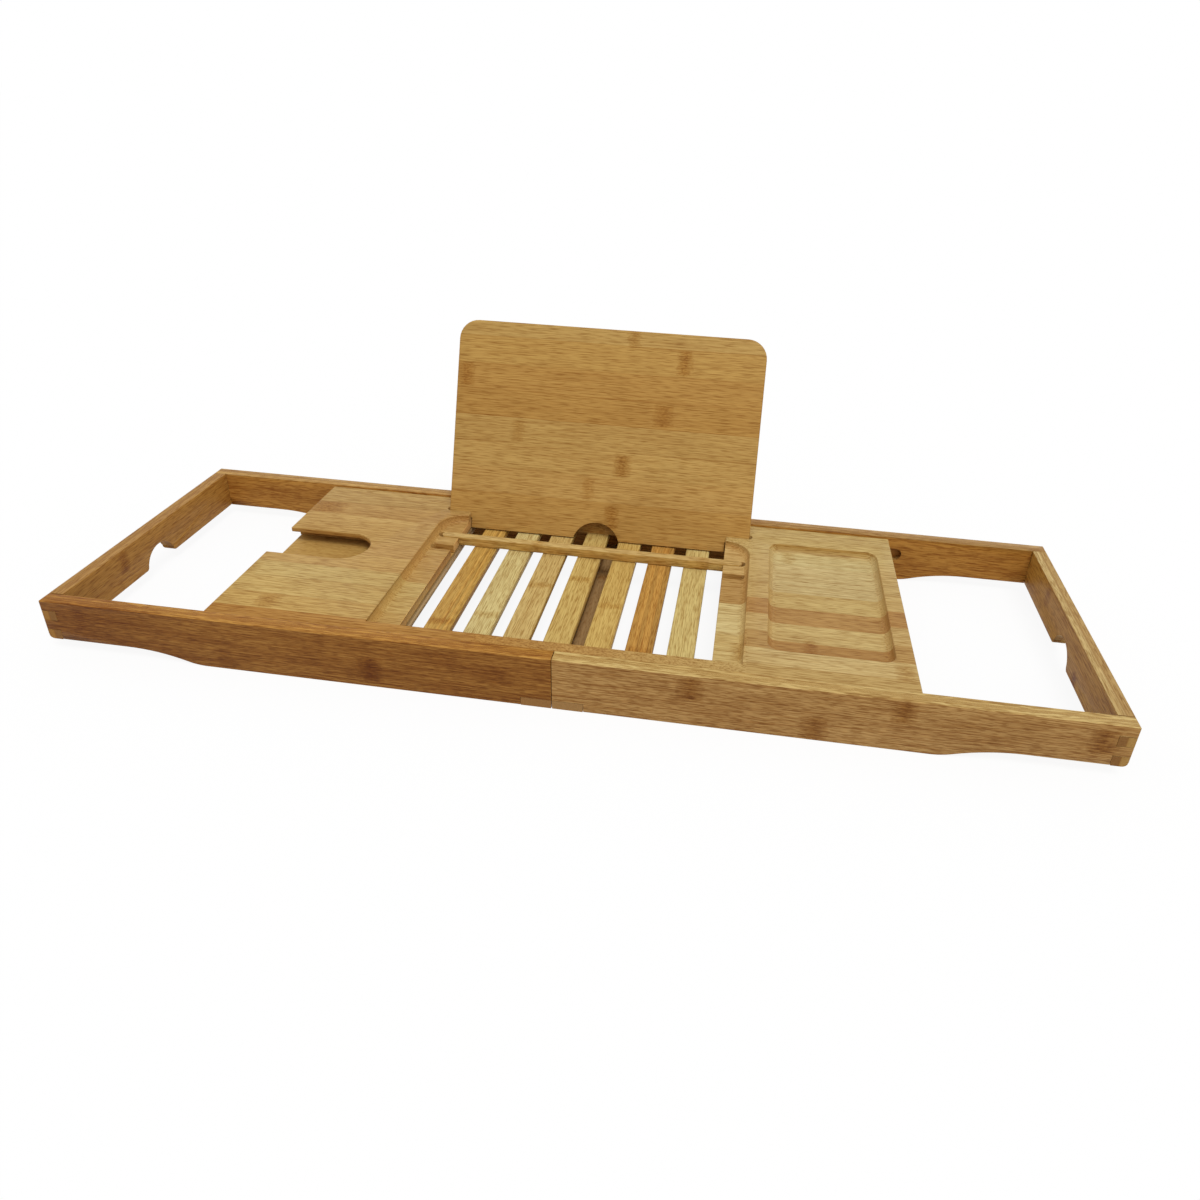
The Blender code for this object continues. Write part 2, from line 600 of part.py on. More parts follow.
def build_tray(tray, rest_socket, materials):
    """Everything that is fixed to the deck."""
    light, slat_material, under, rail_material, steel = materials
    half = DECK_LENGTH / 2
    deck = build_deck(tray, rest_socket, light)

    runner_low = GROOVE_BOTTOM + RUN_GAP
    runner_high = GROOVE_TOP - RUN_GAP
    runner_outline = rounded_box_outline(
        (-half, runner_low), (half, runner_high), (runner_high - runner_low) / 2
    )
    for name, across in (("front_runner", -1), ("back_runner", 1)):
        inner = across * (RUNNER_INNER_Y + SEAT_GAP)
        outer = across * (RAIL_INNER_Y + GROOVE_DEPTH - RUN_GAP)
        place(name, prism_mesh(name, runner_outline, "Y", inner, outer), tray, rail_material)

    slat_mesh = box_mesh(
        "slat", (-SLAT_WIDTH / 2, -SLAT_HALF_DEPTH, SLAT_UNDERSIDE),
        (SLAT_WIDTH / 2, SLAT_HALF_DEPTH, SLAT_TOP),
    )
    screw_length = DECK_SCREW_TOP - SLAT_UNDERSIDE
    for number in range(1, SLAT_COUNT + 1):
        name = f"slat_{number}"
        x = (number - (SLAT_COUNT + 1) / 2) * SLAT_PITCH
        slat = place(name, slat_mesh.copy(), tray, slat_material, (x, 0, 0))
        drive_screws(
            [f"{name}_front_screw", f"{name}_back_screw"], [(x, FRONT_SCREW_Y), (x, BACK_SCREW_Y)],
            SLAT_UNDERSIDE, screw_length, tray, [slat, deck], steel,
        )

    for side, across, lip in (("left", -1, LEFT_PLATE_LIP), ("right", 1, 0)):
        name = f"{side}_base_plate"
        inner, outer = across * (WINDOW_LENGTH / 2 - lip), across * half
        plate_outline = rounded_box_outline(
            (min(inner, outer), -SLAT_HALF_DEPTH), (max(inner, outer), SLAT_HALF_DEPTH), 0
        )
        plate = place(
            name, prism_mesh(name, plate_outline, "Z", SLAT_UNDERSIDE, SLAT_TOP), tray, under
        )
        margin = across * PLATE_SCREW_MARGIN
        drive_screws(
            [f"{name}_screw_{number}" for number in range(1, 5)],
            [(x, y) for x in (inner + margin, outer - margin) for y in (FRONT_SCREW_Y, BACK_SCREW_Y)],
            SLAT_UNDERSIDE, screw_length, tray, [plate, deck], steel,
        )

        name = f"{side}_stop_cleat"
        reach = SEAM_GAP / 2 + STRETCHER_WIDTH + SLIDE_TRAVEL + RUN_GAP
        face, rear = (across * x - TRAY_OFFSET for x in (reach, reach + CLEAT_THICKNESS))
        cleat = place(
            name,
            box_mesh(
                name, (min(face, rear), -CLEAT_WIDTH / 2, CLEAT_FLOOR_CLEARANCE),
                (max(face, rear), CLEAT_WIDTH / 2, SLAT_UNDERSIDE - SEAT_GAP),
            ),
            tray, rail_material,
        )
        middle = (face + rear) / 2
        drive_screws(
            [f"{name}_front_screw", f"{name}_back_screw"],
            [(middle, -CLEAT_SCREW_Y), (middle, CLEAT_SCREW_Y)],
            CLEAT_FLOOR_CLEARANCE, DECK_SCREW_TOP - CLEAT_FLOOR_CLEARANCE, tray,
            [cleat, plate, deck], steel,
        )


def build_ledge_bar(parent, material):
    outline = slot_outline(LEDGE_LENGTH, LEDGE_THICKNESS, 0)
    top = RECESS_FLOOR + LEDGE_PROUD
    place("ledge_bar", prism_mesh("ledge_bar", outline, "Z", LEDGE_BOTTOM, top), parent, material)


def book_rest_outline():
    """Front view of the book rest: across, and up from deck level."""
    foot = SEAT_GAP - REST_SOCKET_DEPTH
    tongue_foot = (SLAT_TOP + SEAT_GAP - DECK_TOP) / math.cos(REST_LEAN) - OVERRUN
    side = REST_WIDTH / 2
    tongue = TONGUE_WIDTH / 2
    hole_centre = FINGER_HOLE_RISE - FINGER_HOLE_RADIUS
    reach = math.acos((tongue_foot - hole_centre) / FINGER_HOLE_RADIUS)
    outline = rounded_outline([
        (tongue, tongue_foot, 0), (tongue, foot, 0), (side, foot, REST_FOOT_RADIUS),
        (side, REST_HEIGHT, REST_CORNER_RADIUS), (-side, REST_HEIGHT, REST_CORNER_RADIUS),
        (-side, foot, REST_FOOT_RADIUS), (-tongue, foot, 0), (-tongue, tongue_foot, 0),
    ])
    steps = 2 * QUARTER_STEPS
    for step in range(steps + 1):
        angle = -reach + 2 * reach * step / steps
        outline.append((
            FINGER_HOLE_RADIUS * math.sin(angle),
            hole_centre + FINGER_HOLE_RADIUS * math.cos(angle),
        ))
    return outline


def build_book_rest(parent, tray, material):
    """The panel stands in its parent's leaning axes, and its foot is cut level with the slats."""
    rest = place(
        "book_rest", prism_mesh("book_rest", book_rest_outline(), "Y", 0, REST_THICKNESS),
        parent, material,
    )
    level = SLAT_TOP + SEAT_GAP
    foot_mesh = box_mesh(
        "rest_foot_cut",
        (-REST_WIDTH, REST_FOOT_Y - REST_WIDTH / 2, level - DECK_THICKNESS),
        (REST_WIDTH, REST_FOOT_Y + REST_WIDTH / 2, level),
    )
    cut(rest, place("rest_foot_cut", foot_mesh, tray))


def build():
    clear_scene()
    light = make_material("bamboo_light", BAMBOO_LIGHT)
    rail_material = make_material("bamboo_rail", BAMBOO_RAIL)
    slat_material = make_material("bamboo_slat", BAMBOO_SLAT)
    rest_material = make_material("bamboo_rest", BAMBOO_REST)
    under = make_material("bamboo_under", BAMBOO_UNDER)
    steel = make_material("screw_steel", STEEL, 1.0)

    caddy = make_empty("caddy", None, (0, -MIDDLE_Y, 0))
    left = make_empty("left_frame_axis", caddy, (0, 0, 0), (0, 0, math.pi))
    right = make_empty("right_frame_axis", caddy)
    tray = make_empty("tray_axis", caddy, (TRAY_OFFSET, 0, 0))
    ledge = make_empty("ledge_axis", tray, (0, LEDGE_Y, 0))
    rest = make_empty("rest_axis", tray, (0, REST_FOOT_Y, DECK_TOP), (-REST_LEAN, 0, 0))

    build_frame("left", left, rail_material, steel)
    build_frame("right", right, rail_material, steel)
    build_tray(tray, rest, (light, slat_material, under, rail_material, steel))
    build_ledge_bar(ledge, light)
    build_book_rest(rest, tray, rest_material)


build()
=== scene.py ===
"""Extending bamboo bath caddy: the finish of every board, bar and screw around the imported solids."""

import json
import math
import random

import bmesh
import bpy
from mathutils import Matrix, Vector


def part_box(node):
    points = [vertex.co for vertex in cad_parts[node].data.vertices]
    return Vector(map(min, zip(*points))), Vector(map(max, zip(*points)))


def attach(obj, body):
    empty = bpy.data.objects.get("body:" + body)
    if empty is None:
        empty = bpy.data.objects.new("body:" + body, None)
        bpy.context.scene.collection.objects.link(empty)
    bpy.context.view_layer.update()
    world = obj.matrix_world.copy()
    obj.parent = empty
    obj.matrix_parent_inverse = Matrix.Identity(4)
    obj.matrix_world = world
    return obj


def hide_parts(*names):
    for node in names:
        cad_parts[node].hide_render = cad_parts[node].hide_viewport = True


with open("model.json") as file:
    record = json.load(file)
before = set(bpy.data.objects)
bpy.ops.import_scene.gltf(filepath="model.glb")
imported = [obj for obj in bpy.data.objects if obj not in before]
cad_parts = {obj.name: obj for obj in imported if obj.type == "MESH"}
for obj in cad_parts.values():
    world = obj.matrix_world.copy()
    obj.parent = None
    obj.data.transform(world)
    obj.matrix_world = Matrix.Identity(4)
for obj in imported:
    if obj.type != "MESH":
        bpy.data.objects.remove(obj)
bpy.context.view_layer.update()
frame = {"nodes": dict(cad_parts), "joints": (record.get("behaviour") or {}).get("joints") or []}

# Studio
# A plain white sweep under an even white sky, with a broad soft sun high above the front edge.
# The camera stands where the photograph was taken from, a little right of the middle.
PHOTO_SIZE = 1200
FOCAL_PIXELS = 883.8
PHOTO_CENTRE_PIXEL = (636.0, 523.7)
SENSOR_WIDTH = 36.0
NEAREST_VIEW = 0.01
CAMERA_PLACE = (0.1135, -0.6012, 0.3981)
CAMERA_TURN = (62.246, -1.897, 8.256)
FLOOR_WIDTH = 14.0
SKY_LEVEL = 0.60
SUN_LEVEL = 0.40
SUN_TILT = math.radians(26)
SUN_TURN = math.radians(25)
SUN_SOFTNESS = math.radians(28)
FLOOR_PAINT = 0.75
FLOOR_GLOW_SHARE = 0.90

scene = bpy.context.scene
scene.view_settings.view_transform = "Standard"

camera = bpy.data.objects.new("photo_camera", bpy.data.cameras.new("photo_camera"))
scene.collection.objects.link(camera)
camera.location = CAMERA_PLACE
camera.rotation_euler = [math.radians(turn) for turn in CAMERA_TURN]
camera.data.sensor_width = SENSOR_WIDTH
camera.data.lens = FOCAL_PIXELS / PHOTO_SIZE * SENSOR_WIDTH
camera.data.shift_x = 0.5 - PHOTO_CENTRE_PIXEL[0] / PHOTO_SIZE
camera.data.shift_y = PHOTO_CENTRE_PIXEL[1] / PHOTO_SIZE - 0.5
camera.data.clip_start = NEAREST_VIEW
scene.camera = camera


class Shade:
    """An output in a shader tree. Sums on it add Math nodes, and node() adds any other node."""

    def __init__(self, tree, output=None):
        self.tree = tree
        self.output = output

    def node(self, kind, settings, inputs, output=0):
        made = self.tree.nodes.new(kind)
        for name, value in settings.items():
            if name == "stops":
                ramp = made.color_ramp
                for _ in range(len(value) - len(ramp.elements)):
                    ramp.elements.new(1.0)
                for stop, (place, colour) in zip(ramp.elements, value):
                    stop.position = place
                    stop.color = (*colour, 1.0)
            elif name == "steps":
                made.color_ramp.interpolation = value
            else:
                setattr(made, name, value)
        for name, value in inputs.items():
            if isinstance(value, Shade):
                self.tree.links.new(value.output, made.inputs[name])
            else:
                made.inputs[name].default_value = value
        return Shade(self.tree, made.outputs[output])

    def math(self, operation, *others, clamp=False):
        inputs = dict(enumerate((self, *others)))
        return self.node("ShaderNodeMath", {"operation": operation, "use_clamp": clamp}, inputs)

    def __add__(self, other):
        return self.math("ADD", other)

    def __mul__(self, other):
        return self.math("MULTIPLY", other)

    def __sub__(self, other):
        return self.math("SUBTRACT", other)

    def __rsub__(self, other):
        return self.math("MULTIPLY_ADD", -1.0, other)

    def __truediv__(self, other):
        return self.math("DIVIDE", other)

    __radd__ = __add__
    __rmul__ = __mul__

    def between(self, low, high):
        """Zero below low, one above high, straight between."""
        return self.math("MULTIPLY_ADD", 1 / (high - low), -low / (high - low), clamp=True)

    def blend(self, first, second, kind="MIX"):
        """The first colour where this is zero and the second, or their product, where it is one."""
        settings = {"data_type": "RGBA", "blend_type": kind}
        return self.node("ShaderNodeMix", settings, {0: self, 6: first, 7: second}, 2)

    def stain(self, colour, tint):
        return self.blend(colour, (*tint, 1.0), "MULTIPLY")


def shown(red, green, blue):
    """A colour given as a screen shows it, 0 to 255, turned into linear light."""
    return tuple(
        share / 12.92 if share <= 0.04045 else ((share + 0.055) / 1.055) ** 2.4
        for share in (red / 255, green / 255, blue / 255)
    )


def new_material(name):
    """A new material, a Shade that adds nodes to it, and its Principled shader."""
    material = bpy.data.materials.new(name)
    material.use_nodes = True
    return material, Shade(material.node_tree), material.node_tree.nodes["Principled BSDF"]


def join(shade, socket):
    shade.tree.links.new(shade.output, socket)


def seen_rays(paint):
    """One for rays from the camera and for those a glossy or clear surface sends on."""
    rays = paint.node("ShaderNodeLightPath", {}, {}).output.node.outputs
    camera_ray, glossy_ray, clear_ray = (
        Shade(paint.tree, rays[f"Is {kind} Ray"]) for kind in ("Camera", "Glossy", "Transmission")
    )
    return camera_ray.math("MAXIMUM", glossy_ray).math("MAXIMUM", clear_ray)


bpy.ops.mesh.primitive_plane_add(size=FLOOR_WIDTH)
floor = bpy.context.object
floor.name = "floor"
material, paint, shader = new_material("white_sweep")
seen = seen_rays(paint)
grey, white = (FLOOR_PAINT,) * 3 + (1.0,), (1.0, 1.0, 1.0, 1.0)
join(seen.blend(grey, white), shader.inputs["Base Color"])
shader.inputs["Roughness"].default_value = 1.0
shader.inputs["Specular IOR Level"].default_value = 0.0
glow = paint.node("ShaderNodeEmission", {}, {"Color": white, "Strength": 1.0})
painted = Shade(paint.tree, shader.outputs["BSDF"])
both = paint.node("ShaderNodeMixShader", {}, {0: seen * FLOOR_GLOW_SHARE, 1: painted, 2: glow})
join(both, material.node_tree.nodes["Material Output"].inputs["Surface"])
floor.data.materials.append(material)

world = bpy.data.worlds.new("white_sky")
world.use_nodes = True
scene.world = world
sky = Shade(world.node_tree)
background = world.node_tree.nodes["Background"]
background.inputs["Color"].default_value = white
join(seen_rays(sky) * (1.0 - SKY_LEVEL) + SKY_LEVEL, background.inputs["Strength"])

sun = bpy.data.objects.new("overhead_sun", bpy.data.lights.new("overhead_sun", "SUN"))
scene.collection.objects.link(sun)
sun.data.energy = SUN_LEVEL * math.pi / math.cos(SUN_TILT)
sun.data.angle = SUN_SOFTNESS
sun.rotation_euler = (SUN_TILT, 0.0, SUN_TURN)


# End frames
# Two U-shaped frames of sawn bamboo rail, finger-jointed and glued at the outer corners, with an
# ogee under each long rail. A stretcher across each open end lies in notches under the rails.
RAIL_EASE = 0.0006
STRETCHER_EASE = 0.0003
EASE_STEPS = 3
SHARP_ANGLE = math.radians(35)
FLAT_ANGLE = math.radians(0.5)
NEAR = 0.0002
SAME_POINT = NEAR / 10

# The least cosine between directions that are parallel, and between those that only agree
PARALLEL = 0.9
AGREEING = 0.5

# Each rail's tones: outer layer, inner layer and upright faces; the last is painted light and shade,
# set by how light falls on them
RAIL_WOOD = {
    "left_front_rail": (shown(195, 145, 70), shown(196, 146, 69), shown(160, 112, 51)),
    "left_back_rail": (shown(190, 152, 92), shown(200, 161, 96), shown(190, 137, 64)),
    "left_end_rail": (shown(176, 133, 69), shown(180, 137, 75), shown(189, 138, 65)),
    "left_stretcher": (shown(168, 130, 84), shown(168, 130, 84), shown(168, 124, 68)),
    "right_front_rail": (shown(214, 187, 123), shown(215, 188, 123), shown(187, 148, 91)),
    "right_back_rail": (shown(194, 159, 104), shown(178, 141, 81), shown(188, 135, 61)),
    "right_end_rail": (shown(186, 153, 94), shown(206, 180, 122), shown(187, 139, 63)),
    "right_stretcher": (shown(172, 138, 92), shown(172, 138, 92), shown(172, 131, 75)),
}
FIBRE_STAIN = (0.74, 0.63, 0.50)
DASH_STAIN = (0.70, 0.60, 0.48)
LIGHT_STAIN = (1.12, 1.12, 1.12)
GLUE_STAIN = (0.72, 0.58, 0.42)
KNOT_STAIN = (0.84, 0.71, 0.52)
SPECK_STAIN = (0.60, 0.48, 0.34)
RAIL_KNOT_STAIN = (0.68, 0.52, 0.28)
FINGER_STAIN = (0.85, 0.76, 0.62)
# Upright faces are toned darker and warmer than the tops: painted shade
SIDE_PAINTED_SHADE = (1.0, 0.90, 0.66)
FINGER_TONE = shown(150, 112, 66)
END_CALM = 0.7

# Length, thickness and detail of each kind of fibre
CLOUDS = (0.085, 0.011, 2.0)
STREAKS = (0.034, 0.0016, 3.0)
DASHES = (0.0062, 0.0008, 1.0)
HAIRS = (0.020, 0.0006, 2.0)
WAVERS = (0.03, 0.02, 1.0)
KNOT_RAGS = (0.004, 0.0035, 2.0)
KNOT_SPECKS = (0.0030, 0.0009, 2.0)
PORES = (0.5, 0.0008, 1.0)
FIBRE_ROUGHNESS = 0.55
STRIP_SLIDE = 9.7

GLUE_SEED = 5
GLUE_HALF_WIDTH = 0.0004
GLUE_WAVER = 0.0006
GLUE_LEVELS = (0.10, 0.75)
GLUE_BREAKS = (0.25, 0.60)
KNOT_FADE = 0.002
KNOT_RAG_ALONG = 0.009
KNOT_RAG_ACROSS = 0.003
KNOT_SOFTNESS = 0.6
SPECK_SPAN = (0.42, 0.62)
SPECK_LEVEL = 0.9
PORE_SPAN = (0.46, 0.62)
PORE_LEVEL = 0.25

# What hairs, streaks and end grain add to the lacquer's roughness
DULLNESS = (0.16, 0.12, 0.12)
LACQUER_ROUGHNESS = 0.34
LACQUER_GLOSS = 0.12

# How high hairs, dashes and streaks stand in the relief
RELIEF = (0.4, 0.5, 0.4)
RELIEF_LEVEL = 0.30
RELIEF_DEPTH = 0.00010

TONE_POWERS = (1.0, 1.3, 1.8)
FIRST_KNOT_SHARES = (0.1, 0.9)
KNOT_STEP_SHARES = (0.85, 1.15)
KNOT_HALF_LENGTHS = (0.004, 0.0065)
KNOT_WIDTH_SHARE = 0.47
KNOT_LEVELS = (0.45, 0.9)


def is_close(value, *places):
    return any(abs(value - place) < NEAR for place in places)


def on_outline(middle, low, high):
    """Whether an edge lies on two sides of a plain board's box, as no rim of a screw hole does."""
    return sum(is_close(*values) for values in zip(middle, low, high)) > 1


def sanded_copy(node, name, chosen, width, trim=None):
    """A copy of a sawn piece, its flat faces whole again and its chosen edges eased.

    chosen(middle, way, normals, convex) gives the share of the width that an edge is eased by.
    trim, a point and a direction, takes off what lies behind the plane that they give.
    """
    work = bmesh.new()
    work.from_mesh(frame["nodes"][node].data)
    bmesh.ops.remove_doubles(work, verts=work.verts, dist=SAME_POINT)
    bmesh.ops.dissolve_limit(work, angle_limit=FLAT_ANGLE, verts=work.verts, edges=work.edges)
    if trim:
        whole = work.verts[:] + work.edges[:] + work.faces[:]
        bmesh.ops.bisect_plane(
            work, geom=whole, dist=SAME_POINT, plane_co=trim[0], plane_no=trim[1], clear_inner=True
        )
        bmesh.ops.holes_fill(work, edges=[edge for edge in work.edges if edge.is_boundary])
        bmesh.ops.recalc_face_normals(work, faces=work.faces)
    weight = work.edges.layers.float.new("bevel_weight_edge")
    for edge in work.edges:
        if len(edge.link_faces) == 2 and edge.calc_face_angle() > SHARP_ANGLE:
            a, b = edge.verts
            middle = (a.co + b.co) / 2
            way = (b.co - a.co).normalized()
            normals = [face.normal for face in edge.link_faces]
            edge[weight] = float(chosen(middle, way, normals, edge.is_convex))
            edge.smooth = edge[weight] > 0
    mesh = bpy.data.meshes.new(name)
    work.to_mesh(mesh)
    work.free()
    mesh.shade_smooth()
    piece = bpy.data.objects.new(name, mesh)
    scene.collection.objects.link(piece)
    ease = piece.modifiers.new("eased edges", "BEVEL")
    ease.width = width
    ease.segments = EASE_STEPS
    ease.limit_method = "WEIGHT"
    ease.harden_normals = True
    ease.use_clamp_overlap = False
    ease.miter_outer = "MITER_ARC"
    graph = bpy.context.evaluated_depsgraph_get()
    finished = bpy.data.meshes.new_from_object(piece.evaluated_get(graph))
    piece.modifiers.clear()
    piece.data = finished
    finished.name = name
    return piece


def mark_grain(mesh, along, across, start=(0.0, 0.0, 0.0), facing=(0.0, 0.0, 1.0)):
    """Store each point's place along and across the grain, and which faces are end grain or sides;
    sides get painted light and shade.
    """
    along, across, start, facing = Vector(along), Vector(across), Vector(start), Vector(facing)
    depth = along.cross(across)
    places = mesh.attributes.new("grain", "FLOAT_VECTOR", "POINT")
    for point, value in zip(mesh.vertices, places.data):
        offset = point.co - start
        value.vector = (offset.dot(along), offset.dot(across), offset.dot(depth))
    mesh.attributes.new("end_grain", "FLOAT", "FACE")
    mesh.attributes.new("side", "FLOAT", "FACE")
    for face in mesh.polygons:
        is_end = face.normal.dot(along) ** 2
        is_side = abs(face.normal.dot(facing)) < AGREEING
        mesh.attributes["end_grain"].data[face.index].value = is_end
        mesh.attributes["side"].data[face.index].value = is_side * (1.0 - is_end)


def even_strips(low, high, count, colour, seed, spread=0.08):
    """Glued strips of equal width, each a little lighter and paler or darker and warmer."""
    chance = random.Random(seed)
    strips = []
    for order in range(count):
        level = 1.0 + chance.uniform(-spread, spread)
        tone = [share * level ** power for share, power in zip(colour, TONE_POWERS)]
        strips.append((low + (high - low) * order / count, tone))
    return strips


def scattered_knots(low, high, strips, top, spacing, seed):
    """Knots about one spacing apart along each strip, as bamboo's nodes are."""
    chance = random.Random(seed)
    edges = [edge for edge, _ in strips] + [top]
    knots = []
    for bottom, upper in zip(edges, edges[1:]):
        place = low + spacing * chance.uniform(*FIRST_KNOT_SHARES)
        while place < high:
            knots.append((
                place, (bottom + upper) / 2, chance.uniform(*KNOT_HALF_LENGTHS),
                (upper - bottom) * KNOT_WIDTH_SHARE, chance.uniform(*KNOT_LEVELS),
            ))
            place += spacing * chance.uniform(*KNOT_STEP_SHARES)
    return knots


def bamboo(name, strips, top, knots=(), others=(), end_stain=FINGER_STAIN, side_light_and_shade=SIDE_PAINTED_SHADE,
           knot_stain=KNOT_STAIN, contrast=1.0, reach=1.0, seed=0):
    """Clear-lacquered bamboo board, read from the grain attributes.

    Strips lie side by side across the grain, each from its edge to the next, the last to top.
    Knots are (along, across, half length, half width, level). Each of others is a table of
    strips with a function that gives, from the places along and deep and the share of end grain,
    how far it shows. Reach draws the fibres out.
    """
    material, wood, shader = new_material(name)
    place = wood.node("ShaderNodeAttribute", {"attribute_name": "grain"}, {}, "Vector")
    axes = wood.node("ShaderNodeSeparateXYZ", {}, {0: place}).output.node.outputs
    along, across, depth = (Shade(wood.tree, axes[letter]) for letter in "XYZ")
    ends = wood.node("ShaderNodeAttribute", {"attribute_name": "end_grain"}, {}, "Fac")
    calm = 1.0 - ends * END_CALM

    low, span = strips[0][0], top - strips[0][0]
    share = across.math("MULTIPLY_ADD", 1 / span, -low / span)

    def strip_tones(table):
        stops = [((edge - low) / span, tone) for edge, tone in table] + [(1.0, table[-1][1])]
        return wood.node("ShaderNodeValToRGB", {"steps": "CONSTANT", "stops": stops}, {0: share})

    colour = strip_tones(strips)
    for table, shows in others:
        colour = shows(along, depth, ends).blend(colour, strip_tones(table))
    slide = along + colour * STRIP_SLIDE + seed

    def fibres(length, thickness, detail):
        """Noise drawn out along the grain into streaks of about this length and thickness."""
        stretched = wood.node("ShaderNodeCombineXYZ", {}, {
            "X": slide / length, "Y": across / thickness, "Z": depth / thickness,
        })
        inputs = {"Vector": stretched, "Scale": 1.0, "Detail": detail, "Roughness": FIBRE_ROUGHNESS}
        return wood.node("ShaderNodeTexNoise", {}, inputs)

    clouds = fibres(*CLOUDS)
    streaks, dashes, hairs = (
        fibres(length * reach, thickness, detail)
        for length, thickness, detail in (STREAKS, DASHES, HAIRS)
    )
    # Each stain starts where its texture is at none and is whole where it is at full
    for texture, none, full, level, stain in (
        (clouds, 0.35, 0.70, 0.24, FIBRE_STAIN), (streaks, 0.46, 0.72, 0.55, FIBRE_STAIN),
        (dashes, 0.50, 0.66, 0.72, DASH_STAIN), (hairs, 0.50, 0.74, 0.45, DASH_STAIN),
        (dashes, 0.46, 0.28, 0.40, LIGHT_STAIN),
    ):
        colour = (texture.between(none, full) * calm * (level * contrast)).stain(colour, stain)

    edges = [edge for edge, _ in strips[1:]]
    if edges:
        chance = random.Random(seed + GLUE_SEED)
        stops = [(0.0, (0.0,) * 3)]
        for edge in edges:
            level = chance.uniform(*GLUE_LEVELS)
            stops.append(((edge - low - GLUE_HALF_WIDTH) / span, (level,) * 3))
            stops.append(((edge - low + GLUE_HALF_WIDTH) / span, (0.0,) * 3))
        waver = fibres(*WAVERS).math("MULTIPLY_ADD", GLUE_WAVER / span, -GLUE_WAVER / 2 / span)
        settings = {"steps": "CONSTANT", "stops": stops}
        lines = wood.node("ShaderNodeValToRGB", settings, {0: share + waver})
        colour = (lines * streaks.between(*GLUE_BREAKS)).stain(colour, GLUE_STAIN)

    if knots:
        rags = fibres(*KNOT_RAGS) - 0.5
        ragged_along = along + rags * KNOT_RAG_ALONG
        ragged_across = across + rags * KNOT_RAG_ACROSS
        patch = None
        for at, middle, half_length, half_width, level in knots:
            lengthwise = (ragged_along - at).math("ABSOLUTE").math(
                "MULTIPLY_ADD", -1 / half_length, 1.0, clamp=True
            )
            crosswise = (ragged_across - middle).math("ABSOLUTE").math(
                "MULTIPLY_ADD", -1 / KNOT_FADE, half_width / KNOT_FADE, clamp=True
            )
            knot = lengthwise * crosswise * level
            patch = knot if patch is None else patch.math("MAXIMUM", knot)
        specks = fibres(*KNOT_SPECKS).between(*SPECK_SPAN)
        soft = patch.math("POWER", KNOT_SOFTNESS)
        colour = soft.stain(colour, knot_stain)
        colour = (soft * specks * SPECK_LEVEL).stain(colour, SPECK_STAIN)

    # Upright sides take their side tone: painted light and shade where tops and sides are lit
    # differently
    side = wood.node("ShaderNodeAttribute", {"attribute_name": "side"}, {}, "Fac")
    colour = side.stain(colour, side_light_and_shade)
    pores = fibres(*PORES).between(*PORE_SPAN)
    colour = ends.stain(colour, end_stain)
    colour = (ends * pores * PORE_LEVEL).stain(colour, DASH_STAIN)
    join(colour, shader.inputs["Base Color"])

    dull = hairs * DULLNESS[0] + streaks * DULLNESS[1] + ends * DULLNESS[2]
    join(dull + LACQUER_ROUGHNESS, shader.inputs["Roughness"])
    shader.inputs["Specular IOR Level"].default_value = LACQUER_GLOSS
    relief = (hairs * RELIEF[0] + dashes * RELIEF[1] + streaks * RELIEF[2]) * calm
    bump = {"Strength": RELIEF_LEVEL, "Distance": RELIEF_DEPTH, "Height": relief}
    join(wood.node("ShaderNodeBump", {}, bump), shader.inputs["Normal"])
    return material


def dress(piece, body, slot, material, *nodes):
    """Give a finished piece its material and let it stand for its solids."""
    piece.data.materials.clear()
    piece.data.materials.append(material)
    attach(piece, body)
    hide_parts(*nodes)


RAIL_LOW, RAIL_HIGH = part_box("left_front_rail")
END_LOW, END_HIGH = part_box("left_end_rail")
RAIL_TOP = RAIL_HIGH.z
OUTER_X = -END_LOW.x
END_INNER_X = -END_HIGH.x
FRONT_Y = RAIL_LOW.y
BACK_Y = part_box("left_back_rail")[1].y
END_UNDERSIDE = END_LOW.z
NOTCH_END_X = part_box("right_stretcher")[1].x + 2 * NEAR
CORNER_DEPTH = 0.012


def long_rail_edge(middle, way, normals, convex):
    """The top edges, the lower edges with their ogee, and the outer corner of a long rail."""
    outside = is_close(abs(middle.x), OUTER_X)
    if abs(way.z) > PARALLEL:
        return outside and is_close(middle.y, FRONT_Y, BACK_Y)
    if is_close(middle.z, RAIL_TOP):
        return outside or abs(middle.x) < OUTER_X - NEAR and abs(way.x) > PARALLEL
    lower = middle.z < END_UNDERSIDE + NEAR and NOTCH_END_X < abs(middle.x) < END_INNER_X
    return lower and any(normal.z < -AGREEING for normal in normals)


def end_rail_edge(middle, way, normals, convex):
    """The top edges, the grip's mouth, the lower edges and the corners of an end rail."""
    if abs(way.z) > PARALLEL and is_close(middle.y, FRONT_Y, BACK_Y):
        return is_close(abs(middle.x), OUTER_X)
    if is_close(middle.z, RAIL_TOP):
        return abs(way.y) > PARALLEL
    inside = FRONT_Y + CORNER_DEPTH < middle.y < BACK_Y - CORNER_DEPTH
    on_face = is_close(abs(middle.x), OUTER_X, END_INNER_X)
    return inside and on_face and normals[0].z + normals[1].z < 0


